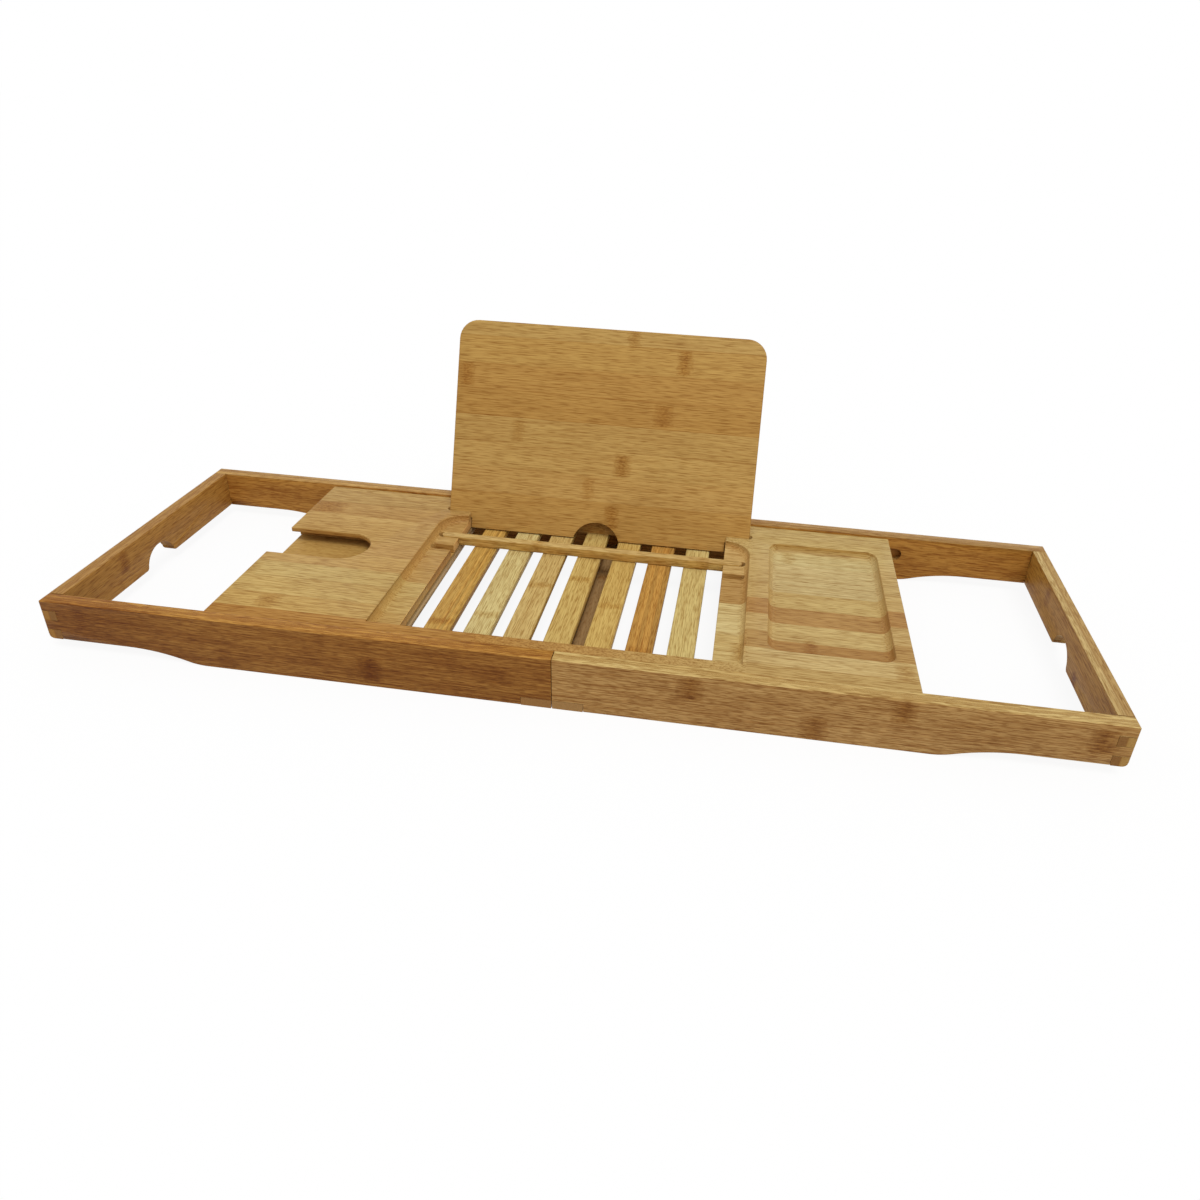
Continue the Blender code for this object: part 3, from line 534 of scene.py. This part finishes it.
# Knots are (along, across, half length, half width, level)
FRONT_KNOTS = {
    "left": [
        (-0.3458, 0.0283, 0.009, 0.010, 0.8), (-0.1296, 0.0150, 0.010, 0.011, 0.75),
        (-0.0378, 0.0230, 0.012, 0.008, 0.3), (-0.2380, 0.0100, 0.008, 0.009, 0.3),
        # This broad faint patch, not a knot, darkens the face towards the rail's left end
        (-0.3450, 0.0205, 0.065, 0.030, 0.28),
    ],
    "right": [
        (0.0940, 0.0300, 0.010, 0.010, 0.7), (0.1776, 0.0100, 0.010, 0.010, 0.65),
        (0.2326, 0.0310, 0.009, 0.009, 0.75), (0.3562, 0.0270, 0.010, 0.010, 0.75),
    ],
}
BACK_KNOTS = {
    "left": [(-0.1750, 0.0310, 0.009, 0.010, 0.7), (-0.0580, 0.0110, 0.009, 0.010, 0.6)],
    "right": [(0.0860, 0.0300, 0.009, 0.010, 0.6), (0.2050, 0.0120, 0.010, 0.010, 0.7)],
}
STRETCHER_KNOTS = [(0.035, 0.006, 0.7), (-0.090, 0.005, 0.5)]
STRETCHER_KNOT_WIDTH = 0.010
FACE_SPREAD = 0.015
KNOT_SPACING = 0.23
RAIL_CONTRAST = {
    "left_front_rail": 3.4, "right_front_rail": 2.7, "left_end_rail": 1.6, "right_end_rail": 1.9,
}
PLAIN_CONTRAST = 2.2
RAIL_REACH = 1.4
LAYER_LINE = 0.0005
LAYER_LINE_LEVEL = 0.6


def rail_bamboo(node, middle, knots, seed):
    """Lacquered bamboo of two layers glued face to face at the middle of the rail's thickness.

    Middle is that place in the grain's depth, which is along crossed with across.
    """
    # side is the painted light and shade tone of the upright faces
    outer, inner, side = RAIL_WOOD[node]
    glue = [share * stain for share, stain in zip(outer, GLUE_STAIN)]
    tables = [
        even_strips(0.0, RAIL_TOP, 2, tone, seed, FACE_SPREAD)
        for tone in (outer, inner, FINGER_TONE, glue)
    ]
    seen = outer if "front" in node else inner

    def inside(along, depth, ends):
        """The layer that faces the tray."""
        return depth.math("LESS_THAN" if middle > 0 else "GREATER_THAN", middle)

    def finger(along, depth, ends):
        """The end grain of that layer's fingers."""
        return inside(along, depth, ends) * ends

    def glue_line(along, depth, ends):
        return (depth - middle).math("ABSOLUTE").between(2 * LAYER_LINE, 0.0) * LAYER_LINE_LEVEL

    return bamboo(
        f"{node}_bamboo", tables[0], RAIL_TOP, knots,
        [(tables[1], inside), (tables[2], finger), (tables[3], glue_line)],
        side_light_and_shade=[ours / theirs for ours, theirs in zip(side, seen)], knot_stain=RAIL_KNOT_STAIN,
        contrast=RAIL_CONTRAST.get(node, PLAIN_CONTRAST), reach=RAIL_REACH, seed=seed,
    )


for side in ("left", "right"):
    body = f"{side}_frame"
    for order, where in enumerate(("front", "back")):
        node = f"{side}_{where}_rail"
        low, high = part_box(node)
        rail = sanded_copy(node, f"{node}_board", long_rail_edge, RAIL_EASE)
        mark_grain(rail.data, (1, 0, 0), (0, 0, 1))
        seed = len(side) * 3 + order
        knots = FRONT_KNOTS[side] if where == "front" else BACK_KNOTS[side]
        dress(rail, body, "bamboo_rail", rail_bamboo(node, -(low.y + high.y) / 2, knots, seed), node)

    node = f"{side}_end_rail"
    low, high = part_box(node)
    rail = sanded_copy(node, f"{node}_board", end_rail_edge, RAIL_EASE)
    mark_grain(rail.data, (0, 1, 0), (0, 0, 1))
    seed = 31 + len(side)
    knots = scattered_knots(
        low.y, high.y, [(0.0, None), (RAIL_TOP / 2, None)], RAIL_TOP, KNOT_SPACING, seed
    )
    dress(rail, body, "bamboo_rail", rail_bamboo(node, (low.x + high.x) / 2, knots, seed), node)

    node = f"{side}_stretcher"
    low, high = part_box(node)
    stretcher = sanded_copy(
        node, f"{node}_board",
        lambda middle, way, *others: abs(way.y) > PARALLEL and on_outline(middle, low, high),
        STRETCHER_EASE,
    )
    mark_grain(stretcher.data, (0, 1, 0), (1, 0, 0))
    strips = even_strips(low.x, high.x, 1, RAIL_WOOD[node][0], seed=41 + len(side))
    knots = [
        (at, (low.x + high.x) / 2, half_length, STRETCHER_KNOT_WIDTH, level)
        for at, half_length, level in STRETCHER_KNOTS
    ]
    wood = bamboo(f"{node}_bamboo", strips, high.x, knots, seed=51 + len(side))
    dress(stretcher, body, "bamboo_rail", wood, node)


# Tray deck
# One glued bamboo board with the grain lengthwise, routed for the book recess and its window,
# the leaning and standing grooves, the glass slot and the soap tray, then sanded and lacquered.
DECK_EASE = 0.0010
RIM_SHARE = 0.4
RIM_RISE = 0.006
GROOVE_SHARE = 0.2
GROOVE_SPAN = (-0.003, 0.009)
GROOVE_OVERRUN = 0.004
DECK_STRIPS_LEFT = [
    (-0.1213, shown(183, 136, 69)), (-0.1093, shown(201, 167, 99)), (-0.0900, shown(204, 174, 107)),
    (-0.0665, shown(203, 175, 109)), (-0.0450, shown(199, 163, 97)), (-0.0228, shown(198, 161, 97)),
    (-0.0030, shown(198, 163, 99)), (0.0190, shown(197, 162, 99)), (0.0405, shown(189, 152, 91)),
    (0.0615, shown(193, 160, 98)), (0.0840, shown(194, 161, 99)),
]
DECK_STRIPS_RIGHT = [
    (-0.1213, shown(195, 165, 104)), (-0.1093, shown(207, 181, 122)), (-0.0900, shown(185, 149, 90)),
    (-0.0690, shown(203, 174, 114)), (-0.0470, shown(181, 139, 81)), (-0.0250, shown(201, 172, 111)),
    (-0.0030, shown(200, 172, 112)), (0.0190, shown(201, 173, 113)), (0.0405, shown(205, 180, 119)),
    (0.0615, shown(200, 174, 112)), (0.0840, shown(201, 175, 112)),
]
DECK_KNOTS = [
    (-0.2190, -0.0993, 0.009, 0.009, 0.55), (-0.2450, 0.0510, 0.020, 0.010, 1.00),
    (-0.2560, -0.0580, 0.009, 0.009, 0.50), (0.1594, 0.0520, 0.006, 0.010, 0.35),
    (0.1740, -0.0740, 0.006, 0.010, 0.55), (0.1240, -0.0900, 0.006, 0.010, 0.35),
    (0.2360, -0.1020, 0.008, 0.009, 0.45), (-0.1500, 0.0300, 0.005, 0.009, 0.25),
]
RECESS_STRIPS = [
    (-0.1213, shown(211, 186, 124)), (-0.0695, shown(216, 196, 138)), (-0.0281, shown(194, 158, 98)),
    (0.0162, shown(209, 178, 117)), (0.0405, shown(209, 178, 117)),
]

# Where the board's tones change along it, and where the recess, its floor and its window lie
DECK_CHANGE = (-0.06, 0.13)
RECESS_STRETCH = (0.0, 0.1281)
RECESS_FLOOR = 0.0331
WINDOW_LEFT = -0.1183

# One tint for each strip, from the front of the board to its back
POCKET_TINTS = [(0.95, 0.86, 0.75)] * 3 + [(1.03, 1.07, 1.06)] * 3 + [(1.07, 1.18, 1.38)] * 5
# The window's left wall is made lighter and bluer: painted light on a wall that lies in shade
WINDOW_WALL_PAINTED_LIGHT = [(1.35, 1.35, 1.5)] * len(DECK_STRIPS_LEFT)

ROUTED_LAYER = 0.0371
ROUTED_END_STAIN = (0.98, 0.92, 0.86)
# Routed walls and coves are darker and warmer: partly routing burn, partly painted shade
ROUTED_BURN_AND_SHADE = (0.84, 0.70, 0.52)
COVE_SLOPE = 0.35
DECK_CONTRAST = 1.5
DECK_REACH = 1.8

DECK_LOW, DECK_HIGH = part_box("deck")
REST_LOW, REST_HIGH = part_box("book_rest")
rest_lift = next(joint for joint in frame["joints"] if joint["name"] == "book_rest_lift")
UP_REST = Vector(rest_lift["axis"]).normalized()
FOOT_Y = REST_LOW.y + (DECK_HIGH.z - REST_LOW.z) * UP_REST.y / UP_REST.z


def deck_edge(middle, way, normals, convex):
    """The upper edges, and less so the rims of the window and of the leaning groove."""
    if not convex:
        return 0.0
    if middle.z < DECK_HIGH.z - NEAR:
        return RIM_SHARE * (middle.z > DECK_LOW.z + RIM_RISE)
    by_groove = GROOVE_SPAN[0] < middle.y - FOOT_Y < GROOVE_SPAN[1]
    beside_rest = REST_LOW.x - GROOVE_OVERRUN < middle.x < REST_HIGH.x + GROOVE_OVERRUN
    return GROOVE_SHARE if by_groove and beside_rest else 1.0


def tinted(strips, tints):
    """The same strips, each with its tone multiplied by its tint."""
    return [
        (edge, [share * part for share, part in zip(tone, tint)])
        for (edge, tone), tint in zip(strips, tints)
    ]


def right_half(along, depth, ends):
    return along.between(*DECK_CHANGE)


def book_recess(along, depth, ends):
    start, end = RECESS_STRETCH
    routed = depth.math("LESS_THAN", ROUTED_LAYER)
    return routed * along.math("GREATER_THAN", start) * along.math("LESS_THAN", end)


def soap_tray(along, depth, ends):
    return depth.math("LESS_THAN", ROUTED_LAYER) * along.math("GREATER_THAN", RECESS_STRETCH[1])


# Where the painted light on the window's left wall goes
def window_wall(along, depth, ends):
    on_wall = (along - WINDOW_LEFT).math("ABSOLUTE").math("LESS_THAN", 2 * NEAR)
    return depth.math("LESS_THAN", RECESS_FLOOR) * on_wall


deck = sanded_copy("deck", "deck_board", deck_edge, DECK_EASE)
mark_grain(deck.data, (1, 0, 0), (0, 1, 0))
# Faces of the routed walls and coves take that darker tone by how steep they are: routing burn and
# painted shade
for face in deck.data.polygons:
    if DECK_LOW.z + RIM_RISE < face.center.z < ROUTED_LAYER:
        slope = min(1.0, (1.0 - abs(face.normal.z)) / COVE_SLOPE)
        ends = deck.data.attributes["end_grain"].data[face.index].value
        deck.data.attributes["side"].data[face.index].value = slope * (1.0 - ends)
wood = bamboo(
    "deck_bamboo", DECK_STRIPS_LEFT, DECK_HIGH.y, DECK_KNOTS, [
        (DECK_STRIPS_RIGHT, right_half), (RECESS_STRIPS, book_recess),
        (tinted(DECK_STRIPS_RIGHT, POCKET_TINTS), soap_tray),
        (tinted(DECK_STRIPS_LEFT, WINDOW_WALL_PAINTED_LIGHT), window_wall),
    ], ROUTED_END_STAIN, ROUTED_BURN_AND_SHADE, contrast=DECK_CONTRAST, reach=DECK_REACH, seed=7,
)
dress(deck, "tray", "bamboo_deck", wood, "deck")


# Runners, base plates and stop cleats
# Plain bamboo strips and boards under the deck: two runners glued under its long edges, a plate
# at each side of the window, and a cleat on each plate that stops a frame's stretcher.
UNDER_EASE = 0.0005
UNDER_WOOD = shown(182, 138, 82)
PLATE_WOOD = shown(188, 150, 83)
# The lip's top is painted darker, as painted shade at the foot of the window's wall, and its cut edge
# lighter, as painted light on a face in shadow
LIP_PAINTED_SHADE = shown(140, 116, 76)
LIP_EDGE_PAINTED_LIGHT = shown(238, 215, 175)
LIP_WIDTH = 0.0018
LIP_EDGE_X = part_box("left_base_plate")[1].x - LIP_WIDTH
UNDER_STRIP_WIDTH = 0.022
MOST_KNOTS = 12


def on_lip(along, depth, ends):
    """The thin lip of the left base plate at the foot of the window's left wall."""
    return along.math("GREATER_THAN", LIP_EDGE_X)


def on_lip_end(along, depth, ends):
    return on_lip(along, depth, ends) * ends


for order, (name, along, across) in enumerate((
    ("front_runner", "X", "Z"), ("back_runner", "X", "Z"), ("left_base_plate", "X", "Y"),
    ("right_base_plate", "X", "Y"), ("left_stop_cleat", "Y", "Z"), ("right_stop_cleat", "Y", "Z"),
)):
    low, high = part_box(name)
    axes = {
        "X": ((1, 0, 0), low.x, high.x),
        "Y": ((0, 1, 0), low.y, high.y),
        "Z": ((0, 0, 1), low.z, high.z),
    }
    strip = sanded_copy(
        name, f"{name}_board",
        lambda middle, way, *others: abs(way.z) < AGREEING and on_outline(middle, low, high),
        UNDER_EASE,
    )
    mark_grain(strip.data, axes[along][0], axes[across][0])
    _, bottom, top = axes[across]
    is_plate = name.endswith("plate")
    tone = PLATE_WOOD if is_plate else UNDER_WOOD
    count = max(1, round((top - bottom) / UNDER_STRIP_WIDTH))
    strips = even_strips(bottom, top, count, tone, seed=60 + order)
    knots = scattered_knots(*axes[along][1:], strips, top, KNOT_SPACING, seed=70 + order)
    lip = []
    if name == "left_base_plate":
        # Painted shade on the lip's top and painted light on its edge
        lip = [([(bottom, LIP_PAINTED_SHADE)], on_lip), ([(bottom, LIP_EDGE_PAINTED_LIGHT)], on_lip_end)]
    wood = bamboo(f"{name}_bamboo", strips, top, knots[:MOST_KNOTS], lip, seed=80 + order)
    dress(strip, "tray", "bamboo_under" if is_plate else "bamboo_runner", wood, name)


# Slats
# Seven thin bamboo slats with rounded long edges, front to back under the window, each cut from
# another strip, so their tones run from pale straw to orange.
SLAT_EASE = 0.0009
EASE_CORNERS = 4
SLAT_CONTRAST = 1.5
SLAT_REACH = 1.7
SLAT_KNOT_SIZE = (0.005, 0.0095)
SLAT_WOOD = [
    shown(204, 165, 87), shown(216, 199, 138), shown(210, 183, 118), shown(211, 183, 111),
    shown(211, 180, 105), shown(195, 149, 76), shown(214, 193, 126),
]

# For a slat's number, where across its pitch each further stripe starts and how light it is
SLAT_STRIPES = {
    1: [(0.48, 1.14), (0.55, 0.88), (0.63, 1.14), (0.72, 0.90)],
    6: [(0.30, 1.13), (0.40, 0.92), (0.52, 1.12), (0.68, 0.84)],
}

# Knots are (slat, along, level)
SLAT_KNOTS = [
    (1, -0.0811, 0.8), (2, -0.0658, 0.4), (3, -0.0179, 0.55), (4, -0.0027, 0.6), (5, -0.0366, 0.45),
    (6, -0.0900, 0.4), (7, 0.0900, 0.5),
]

slat_names = [f"slat_{number + 1}" for number in range(len(SLAT_WOOD))]
first_low, first_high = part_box(slat_names[0])
second_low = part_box(slat_names[1])[0]


def add_node(tree, kind, inputs, **settings):
    """One Geometry Nodes node with its settings and the values or links of its sockets."""
    made = tree.nodes.new(kind)
    for name, value in settings.items():
        setattr(made, name, value)
    for name, value in inputs.items():
        if isinstance(value, bpy.types.NodeSocket):
            tree.links.new(value, made.inputs[name])
        else:
            made.inputs[name].default_value = value
    return made


def new_tree(name, *sizes):
    """A Geometry Nodes tree with named inputs, each a (name, kind) pair, and its input node."""
    tree = bpy.data.node_groups.new(name, "GeometryNodeTree")
    tree.interface.new_socket("Geometry", in_out="INPUT", socket_type="NodeSocketGeometry")
    for size, kind in sizes:
        tree.interface.new_socket(size, in_out="INPUT", socket_type=kind)
    tree.interface.new_socket("Geometry", in_out="OUTPUT", socket_type="NodeSocketGeometry")
    return tree, tree.nodes.new("NodeGroupInput")


def grow(name, tree, base_mesh, values):
    """Run a tree on a mesh with its named inputs set, and keep the result as a plain piece."""
    piece = bpy.data.objects.new(name, base_mesh)
    scene.collection.objects.link(piece)
    modifier = piece.modifiers.new(tree.name, "NODES")
    modifier.node_group = tree
    for socket in tree.interface.items_tree:
        if socket.in_out == "INPUT" and socket.name in values:
            modifier[socket.identifier] = values[socket.name]
    graph = bpy.context.evaluated_depsgraph_get()
    grown = bpy.data.meshes.new_from_object(piece.evaluated_get(graph))
    piece.modifiers.clear()
    for face in grown.polygons:
        face.material_index = 0
    while grown.materials[0] is None:
        grown.materials.pop(index=0)
    piece.data = grown
    return piece


FLOAT, WHOLE, MATERIAL = "NodeSocketFloat", "NodeSocketInt", "NodeSocketMaterial"
slat_tree, given = new_tree(
    "slat_row", ("Count", WHOLE), ("Pitch", FLOAT), ("Width", FLOAT), ("Thickness", FLOAT),
    ("Length", FLOAT), ("Edge radius", FLOAT), ("Wood", MATERIAL),
)
section = add_node(
    slat_tree, "GeometryNodeCurvePrimitiveQuadrilateral",
    {"Width": given.outputs["Width"], "Height": given.outputs["Thickness"]},
)
rounded = add_node(
    slat_tree, "GeometryNodeFilletCurve",
    {"Curve": section.outputs[0], "Count": EASE_CORNERS, "Radius": given.outputs["Edge radius"]},
    mode="POLY",
)
far_end = add_node(slat_tree, "ShaderNodeCombineXYZ", {"Y": given.outputs["Length"]})
run = add_node(slat_tree, "GeometryNodeCurvePrimitiveLine", {"End": far_end.outputs[0]})
slat = add_node(
    slat_tree, "GeometryNodeCurveToMesh",
    {"Curve": run.outputs[0], "Profile Curve": rounded.outputs[0], "Fill Caps": True},
)
stride = add_node(slat_tree, "ShaderNodeCombineXYZ", {"X": given.outputs["Pitch"]})
row = add_node(
    slat_tree, "GeometryNodeMeshLine",
    {"Count": given.outputs["Count"], "Offset": stride.outputs[0]}, mode="OFFSET",
)
placed = add_node(
    slat_tree, "GeometryNodeInstanceOnPoints", {"Points": row.outputs[0], "Instance": slat.outputs[0]},
)
real = add_node(slat_tree, "GeometryNodeRealizeInstances", {"Geometry": placed.outputs[0]})
clothed = add_node(
    slat_tree, "GeometryNodeSetMaterial",
    {"Geometry": real.outputs[0], "Material": given.outputs["Wood"]},
)
result = slat_tree.nodes.new("NodeGroupOutput")
slat_tree.links.new(clothed.outputs[0], result.inputs[0])

slat_pitch = second_low.x - first_low.x
gap_middle = (second_low.x + first_high.x) / 2 - slat_pitch
slat_strips = []
for order, tone in enumerate(SLAT_WOOD):
    for place, level in [(0.0, 1.0)] + SLAT_STRIPES.get(order + 1, []):
        edge = gap_middle + slat_pitch * (order + place)
        slat_strips.append((edge, [share * level for share in tone]))
slat_middle = (first_low.x + first_high.x) / 2
knots = [
    (at, slat_middle + slat_pitch * (number - 1), *SLAT_KNOT_SIZE, level)
    for number, at, level in SLAT_KNOTS
]
wood = bamboo(
    "slat_bamboo", slat_strips, gap_middle + slat_pitch * len(SLAT_WOOD), knots,
    contrast=SLAT_CONTRAST, reach=SLAT_REACH, seed=91,
)
slats = grow("slats", slat_tree, bpy.data.meshes.new("slat_base"), {
    "Count": len(SLAT_WOOD), "Pitch": slat_pitch, "Width": first_high.x - first_low.x,
    "Thickness": first_high.z - first_low.z, "Length": first_high.y - first_low.y,
    "Edge radius": SLAT_EASE, "Wood": wood,
})
slats.data.transform(Matrix.Translation((slat_middle, first_low.y, (first_low.z + first_high.z) / 2)))
slats.data.shade_smooth()
slats.data.set_sharp_from_angle(angle=SHARP_ANGLE)
mark_grain(slats.data, (0, 1, 0), (1, 0, 0))
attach(slats, "tray")
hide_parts(*slat_names)


# Ledge bar
# A loose bar with round ends that stands in a groove in front of the book rest and keeps a book's
# foot from sliding.
LEDGE_EASE = 0.0010
LEDGE_TOP_SHARE = 0.4
LEDGE_WOOD = shown(217, 189, 126)
LEDGE_KNOTS = [(-0.050, 0.5), (0.090, 0.4)]
LEDGE_KNOT_SIZE = (0.006, 0.010)
LEDGE_CONTRAST = 1.8
LEDGE_REACH = 1.5

low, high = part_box("ledge_bar")


def ledge_edge(middle, way, normals, convex):
    """The bar's level edges, those at its foot more than those on top."""
    return (abs(way.z) < AGREEING) * (LEDGE_TOP_SHARE if is_close(middle.z, high.z) else 1.0)


ledge = sanded_copy("ledge_bar", "ledge_bar_wood", ledge_edge, LEDGE_EASE)
mark_grain(ledge.data, (1, 0, 0), (0, 0, 1))
strips = even_strips(low.z, high.z, 1, LEDGE_WOOD, seed=3)
knots = [(at, high.z, *LEDGE_KNOT_SIZE, level) for at, level in LEDGE_KNOTS]
wood = bamboo(
    "ledge_bamboo", strips, high.z, knots, contrast=LEDGE_CONTRAST, reach=LEDGE_REACH, seed=93,
)
dress(ledge, "ledge_bar", "bamboo_deck", wood, "ledge_bar")


# Book rest
# A thin glued bamboo panel with round upper corners, a finger hole, and shoulders that stand in
# the leaning groove. The foot of its tongue is sawn so that only the heel comes down to the slats.
REST_EASE = 0.0012
TONGUE_SHARE = 0.25
TONGUE_INSET = 0.015
TONGUE_TOP = 0.002
FOOT_TILT = math.radians(9)
REST_CONTRAST = 1.35
REST_REACH = 2.2
REST_STRIPS = [
    (-0.0147, shown(195, 153, 83)), (0.0186, shown(200, 161, 93)), (0.0410, shown(199, 162, 94)),
    (0.0630, shown(194, 157, 90)), (0.0855, shown(188, 145, 76)), (0.1080, shown(190, 147, 78)),
    (0.1300, shown(194, 154, 84)), (0.1530, shown(196, 160, 93)),
]
REST_KNOTS = [
    (0.0141, 0.1600, 0.006, 0.008, 0.55), (0.0583, 0.1425, 0.007, 0.011, 0.90),
    (-0.1300, 0.1200, 0.008, 0.010, 0.70), (0.0441, 0.0970, 0.009, 0.010, 0.60),
    (-0.0811, 0.0743, 0.006, 0.010, 0.35), (0.0122, 0.0520, 0.008, 0.010, 0.85),
    (-0.0161, 0.0300, 0.006, 0.010, 0.45), (0.0062, 0.0060, 0.007, 0.011, 0.75),
]

foot_point = Vector((0.0, FOOT_Y, DECK_HIGH.z))


def rest_edge(middle, way, normals, convex):
    """All the outer edges, and only a little on the tongue that reaches down to the slats."""
    between_shoulders = REST_LOW.x + TONGUE_INSET < middle.x < REST_HIGH.x - TONGUE_INSET
    on_tongue = between_shoulders and (middle - foot_point).dot(UP_REST) < TONGUE_TOP
    return convex * (TONGUE_SHARE if on_tongue else 1.0)


foot_corners = (
    point.co for point in frame["nodes"]["book_rest"].data.vertices if point.co.z < REST_LOW.z + NEAR
)
heel = max(foot_corners, key=lambda corner: corner.y)
foot_cut = (heel, Vector((0.0, math.sin(FOOT_TILT), math.cos(FOOT_TILT))))
rest = sanded_copy("book_rest", "book_rest_panel", rest_edge, REST_EASE, foot_cut)
mark_grain(rest.data, (1, 0, 0), UP_REST, foot_point, UP_REST.cross(Vector((1, 0, 0))))
rest_top = max((point.co - foot_point).dot(UP_REST) for point in rest.data.vertices)
wood = bamboo(
    "book_rest_bamboo", REST_STRIPS, rest_top, REST_KNOTS,
    contrast=REST_CONTRAST, reach=REST_REACH, seed=95,
)
dress(rest, "book_rest", "bamboo_rest", wood, "book_rest")


# Screws
# Plated countersunk wood screws with a cross recess, driven from below through the slats, plates
# and cleats into the deck, and through the stretchers into the long rails.
CROSS_LENGTH_SHARE = 0.62
CROSS_WIDTH_SHARE = 0.17
CROSS_DEPTH_SHARE = 0.55
SHANK_SHARE = 0.52
HEAD_HEIGHT_SHARE = 0.63
HEAD_SIDES = 24
SHANK_SIDES = 16
ZINC = shown(206, 202, 194)
STAINED_ZINC = shown(150, 142, 130)
STAIN_SCALE = 900.0
STAIN_SPAN = (0.35, 0.75)
ZINC_ROUGHNESS = 0.25
STAIN_ROUGHNESS = 0.25


def screw_steel():
    """Dull zinc plate with small stains."""
    material, metal, shader = new_material("screw_steel")
    place = metal.node("ShaderNodeTexCoord", {}, {}, "Object")
    stains = metal.node(
        "ShaderNodeTexNoise", {}, {"Vector": place, "Scale": STAIN_SCALE, "Detail": 3.0}
    )
    colour = stains.between(*STAIN_SPAN).blend((*ZINC, 1.0), (*STAINED_ZINC, 1.0))
    join(colour, shader.inputs["Base Color"])
    shader.inputs["Metallic"].default_value = 1.0
    join(stains * STAIN_ROUGHNESS + ZINC_ROUGHNESS, shader.inputs["Roughness"])
    return material


screw_tree, given = new_tree(
    "countersunk_screws", ("Head radius", FLOAT), ("Head height", FLOAT), ("Shank radius", FLOAT),
    ("Length", FLOAT), ("Cross length", FLOAT), ("Cross width", FLOAT), ("Cross depth", FLOAT),
    ("Metal", MATERIAL),
)
head = add_node(screw_tree, "GeometryNodeMeshCone", {
    "Vertices": HEAD_SIDES, "Radius Top": given.outputs["Shank radius"],
    "Radius Bottom": given.outputs["Head radius"], "Depth": given.outputs["Head height"],
})
shank = add_node(screw_tree, "GeometryNodeMeshCylinder", {
    "Vertices": SHANK_SIDES, "Radius": given.outputs["Shank radius"], "Depth": given.outputs["Length"],
})
half_length = add_node(
    screw_tree, "ShaderNodeMath", {0: given.outputs["Length"], 1: 0.5}, operation="MULTIPLY"
)
lift = add_node(screw_tree, "ShaderNodeCombineXYZ", {"Z": half_length.outputs[0]})
raised = add_node(
    screw_tree, "GeometryNodeTransform",
    {"Geometry": shank.outputs[0], "Translation": lift.outputs[0]},
)
arms = []
for long_way, short_way in (("X", "Y"), ("Y", "X")):
    size = add_node(screw_tree, "ShaderNodeCombineXYZ", {
        long_way: given.outputs["Cross length"], short_way: given.outputs["Cross width"],
        "Z": given.outputs["Cross depth"],
    })
    arms.append(add_node(screw_tree, "GeometryNodeMeshCube", {"Size": size.outputs[0]}))
solid = add_node(screw_tree, "GeometryNodeMeshBoolean", {}, operation="UNION", solver="EXACT")
screw_tree.links.new(head.outputs[0], solid.inputs["Mesh 2"])
screw_tree.links.new(raised.outputs[0], solid.inputs["Mesh 2"])
driven = add_node(
    screw_tree, "GeometryNodeMeshBoolean", {"Mesh 1": solid.outputs[0]},
    operation="DIFFERENCE", solver="EXACT",
)
for arm in arms:
    screw_tree.links.new(arm.outputs[0], driven.inputs["Mesh 2"])
copies = add_node(
    screw_tree, "GeometryNodeInstanceOnPoints",
    {"Points": given.outputs["Geometry"], "Instance": driven.outputs[0]},
)
real = add_node(screw_tree, "GeometryNodeRealizeInstances", {"Geometry": copies.outputs[0]})
plated = add_node(
    screw_tree, "GeometryNodeSetMaterial",
    {"Geometry": real.outputs[0], "Material": given.outputs["Metal"]},
)
result = screw_tree.nodes.new("NodeGroupOutput")
screw_tree.links.new(plated.outputs[0], result.inputs[0])

steel = screw_steel()
sides, ends = ("left", "right"), ("front", "back")
groups = {
    ("tray", "slat_screws"): [f"{name}_{end}_screw" for name in slat_names for end in ends],
    ("tray", "plate_screws"): [
        f"{side}_base_plate_screw_{number}" for side in sides for number in range(1, 5)
    ],
    ("tray", "cleat_screws"): [f"{side}_stop_cleat_{end}_screw" for side in sides for end in ends],
    ("left_frame", "left_stretcher_screws"): [f"left_stretcher_{end}_screw" for end in ends],
    ("right_frame", "right_stretcher_screws"): [f"right_stretcher_{end}_screw" for end in ends],
}
for (body, name), members in groups.items():
    boxes = [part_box(member) for member in members]
    radius = (boxes[0][1].x - boxes[0][0].x) / 2
    points = bpy.data.meshes.new(name)
    centres = [((low.x + high.x) / 2, (low.y + high.y) / 2, low.z) for low, high in boxes]
    points.from_pydata(centres, [], [])
    screws = grow(name, screw_tree, points, {
        "Head radius": radius, "Head height": radius * HEAD_HEIGHT_SHARE,
        "Shank radius": radius * SHANK_SHARE, "Length": boxes[0][1].z - boxes[0][0].z,
        "Cross length": radius * 2 * CROSS_LENGTH_SHARE, "Cross width": radius * 2 * CROSS_WIDTH_SHARE,
        "Cross depth": radius * CROSS_DEPTH_SHARE * 2, "Metal": steel,
    })
    screws.data.shade_smooth()
    screws.data.set_sharp_from_angle(angle=SHARP_ANGLE)
    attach(screws, body)
    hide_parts(*members)
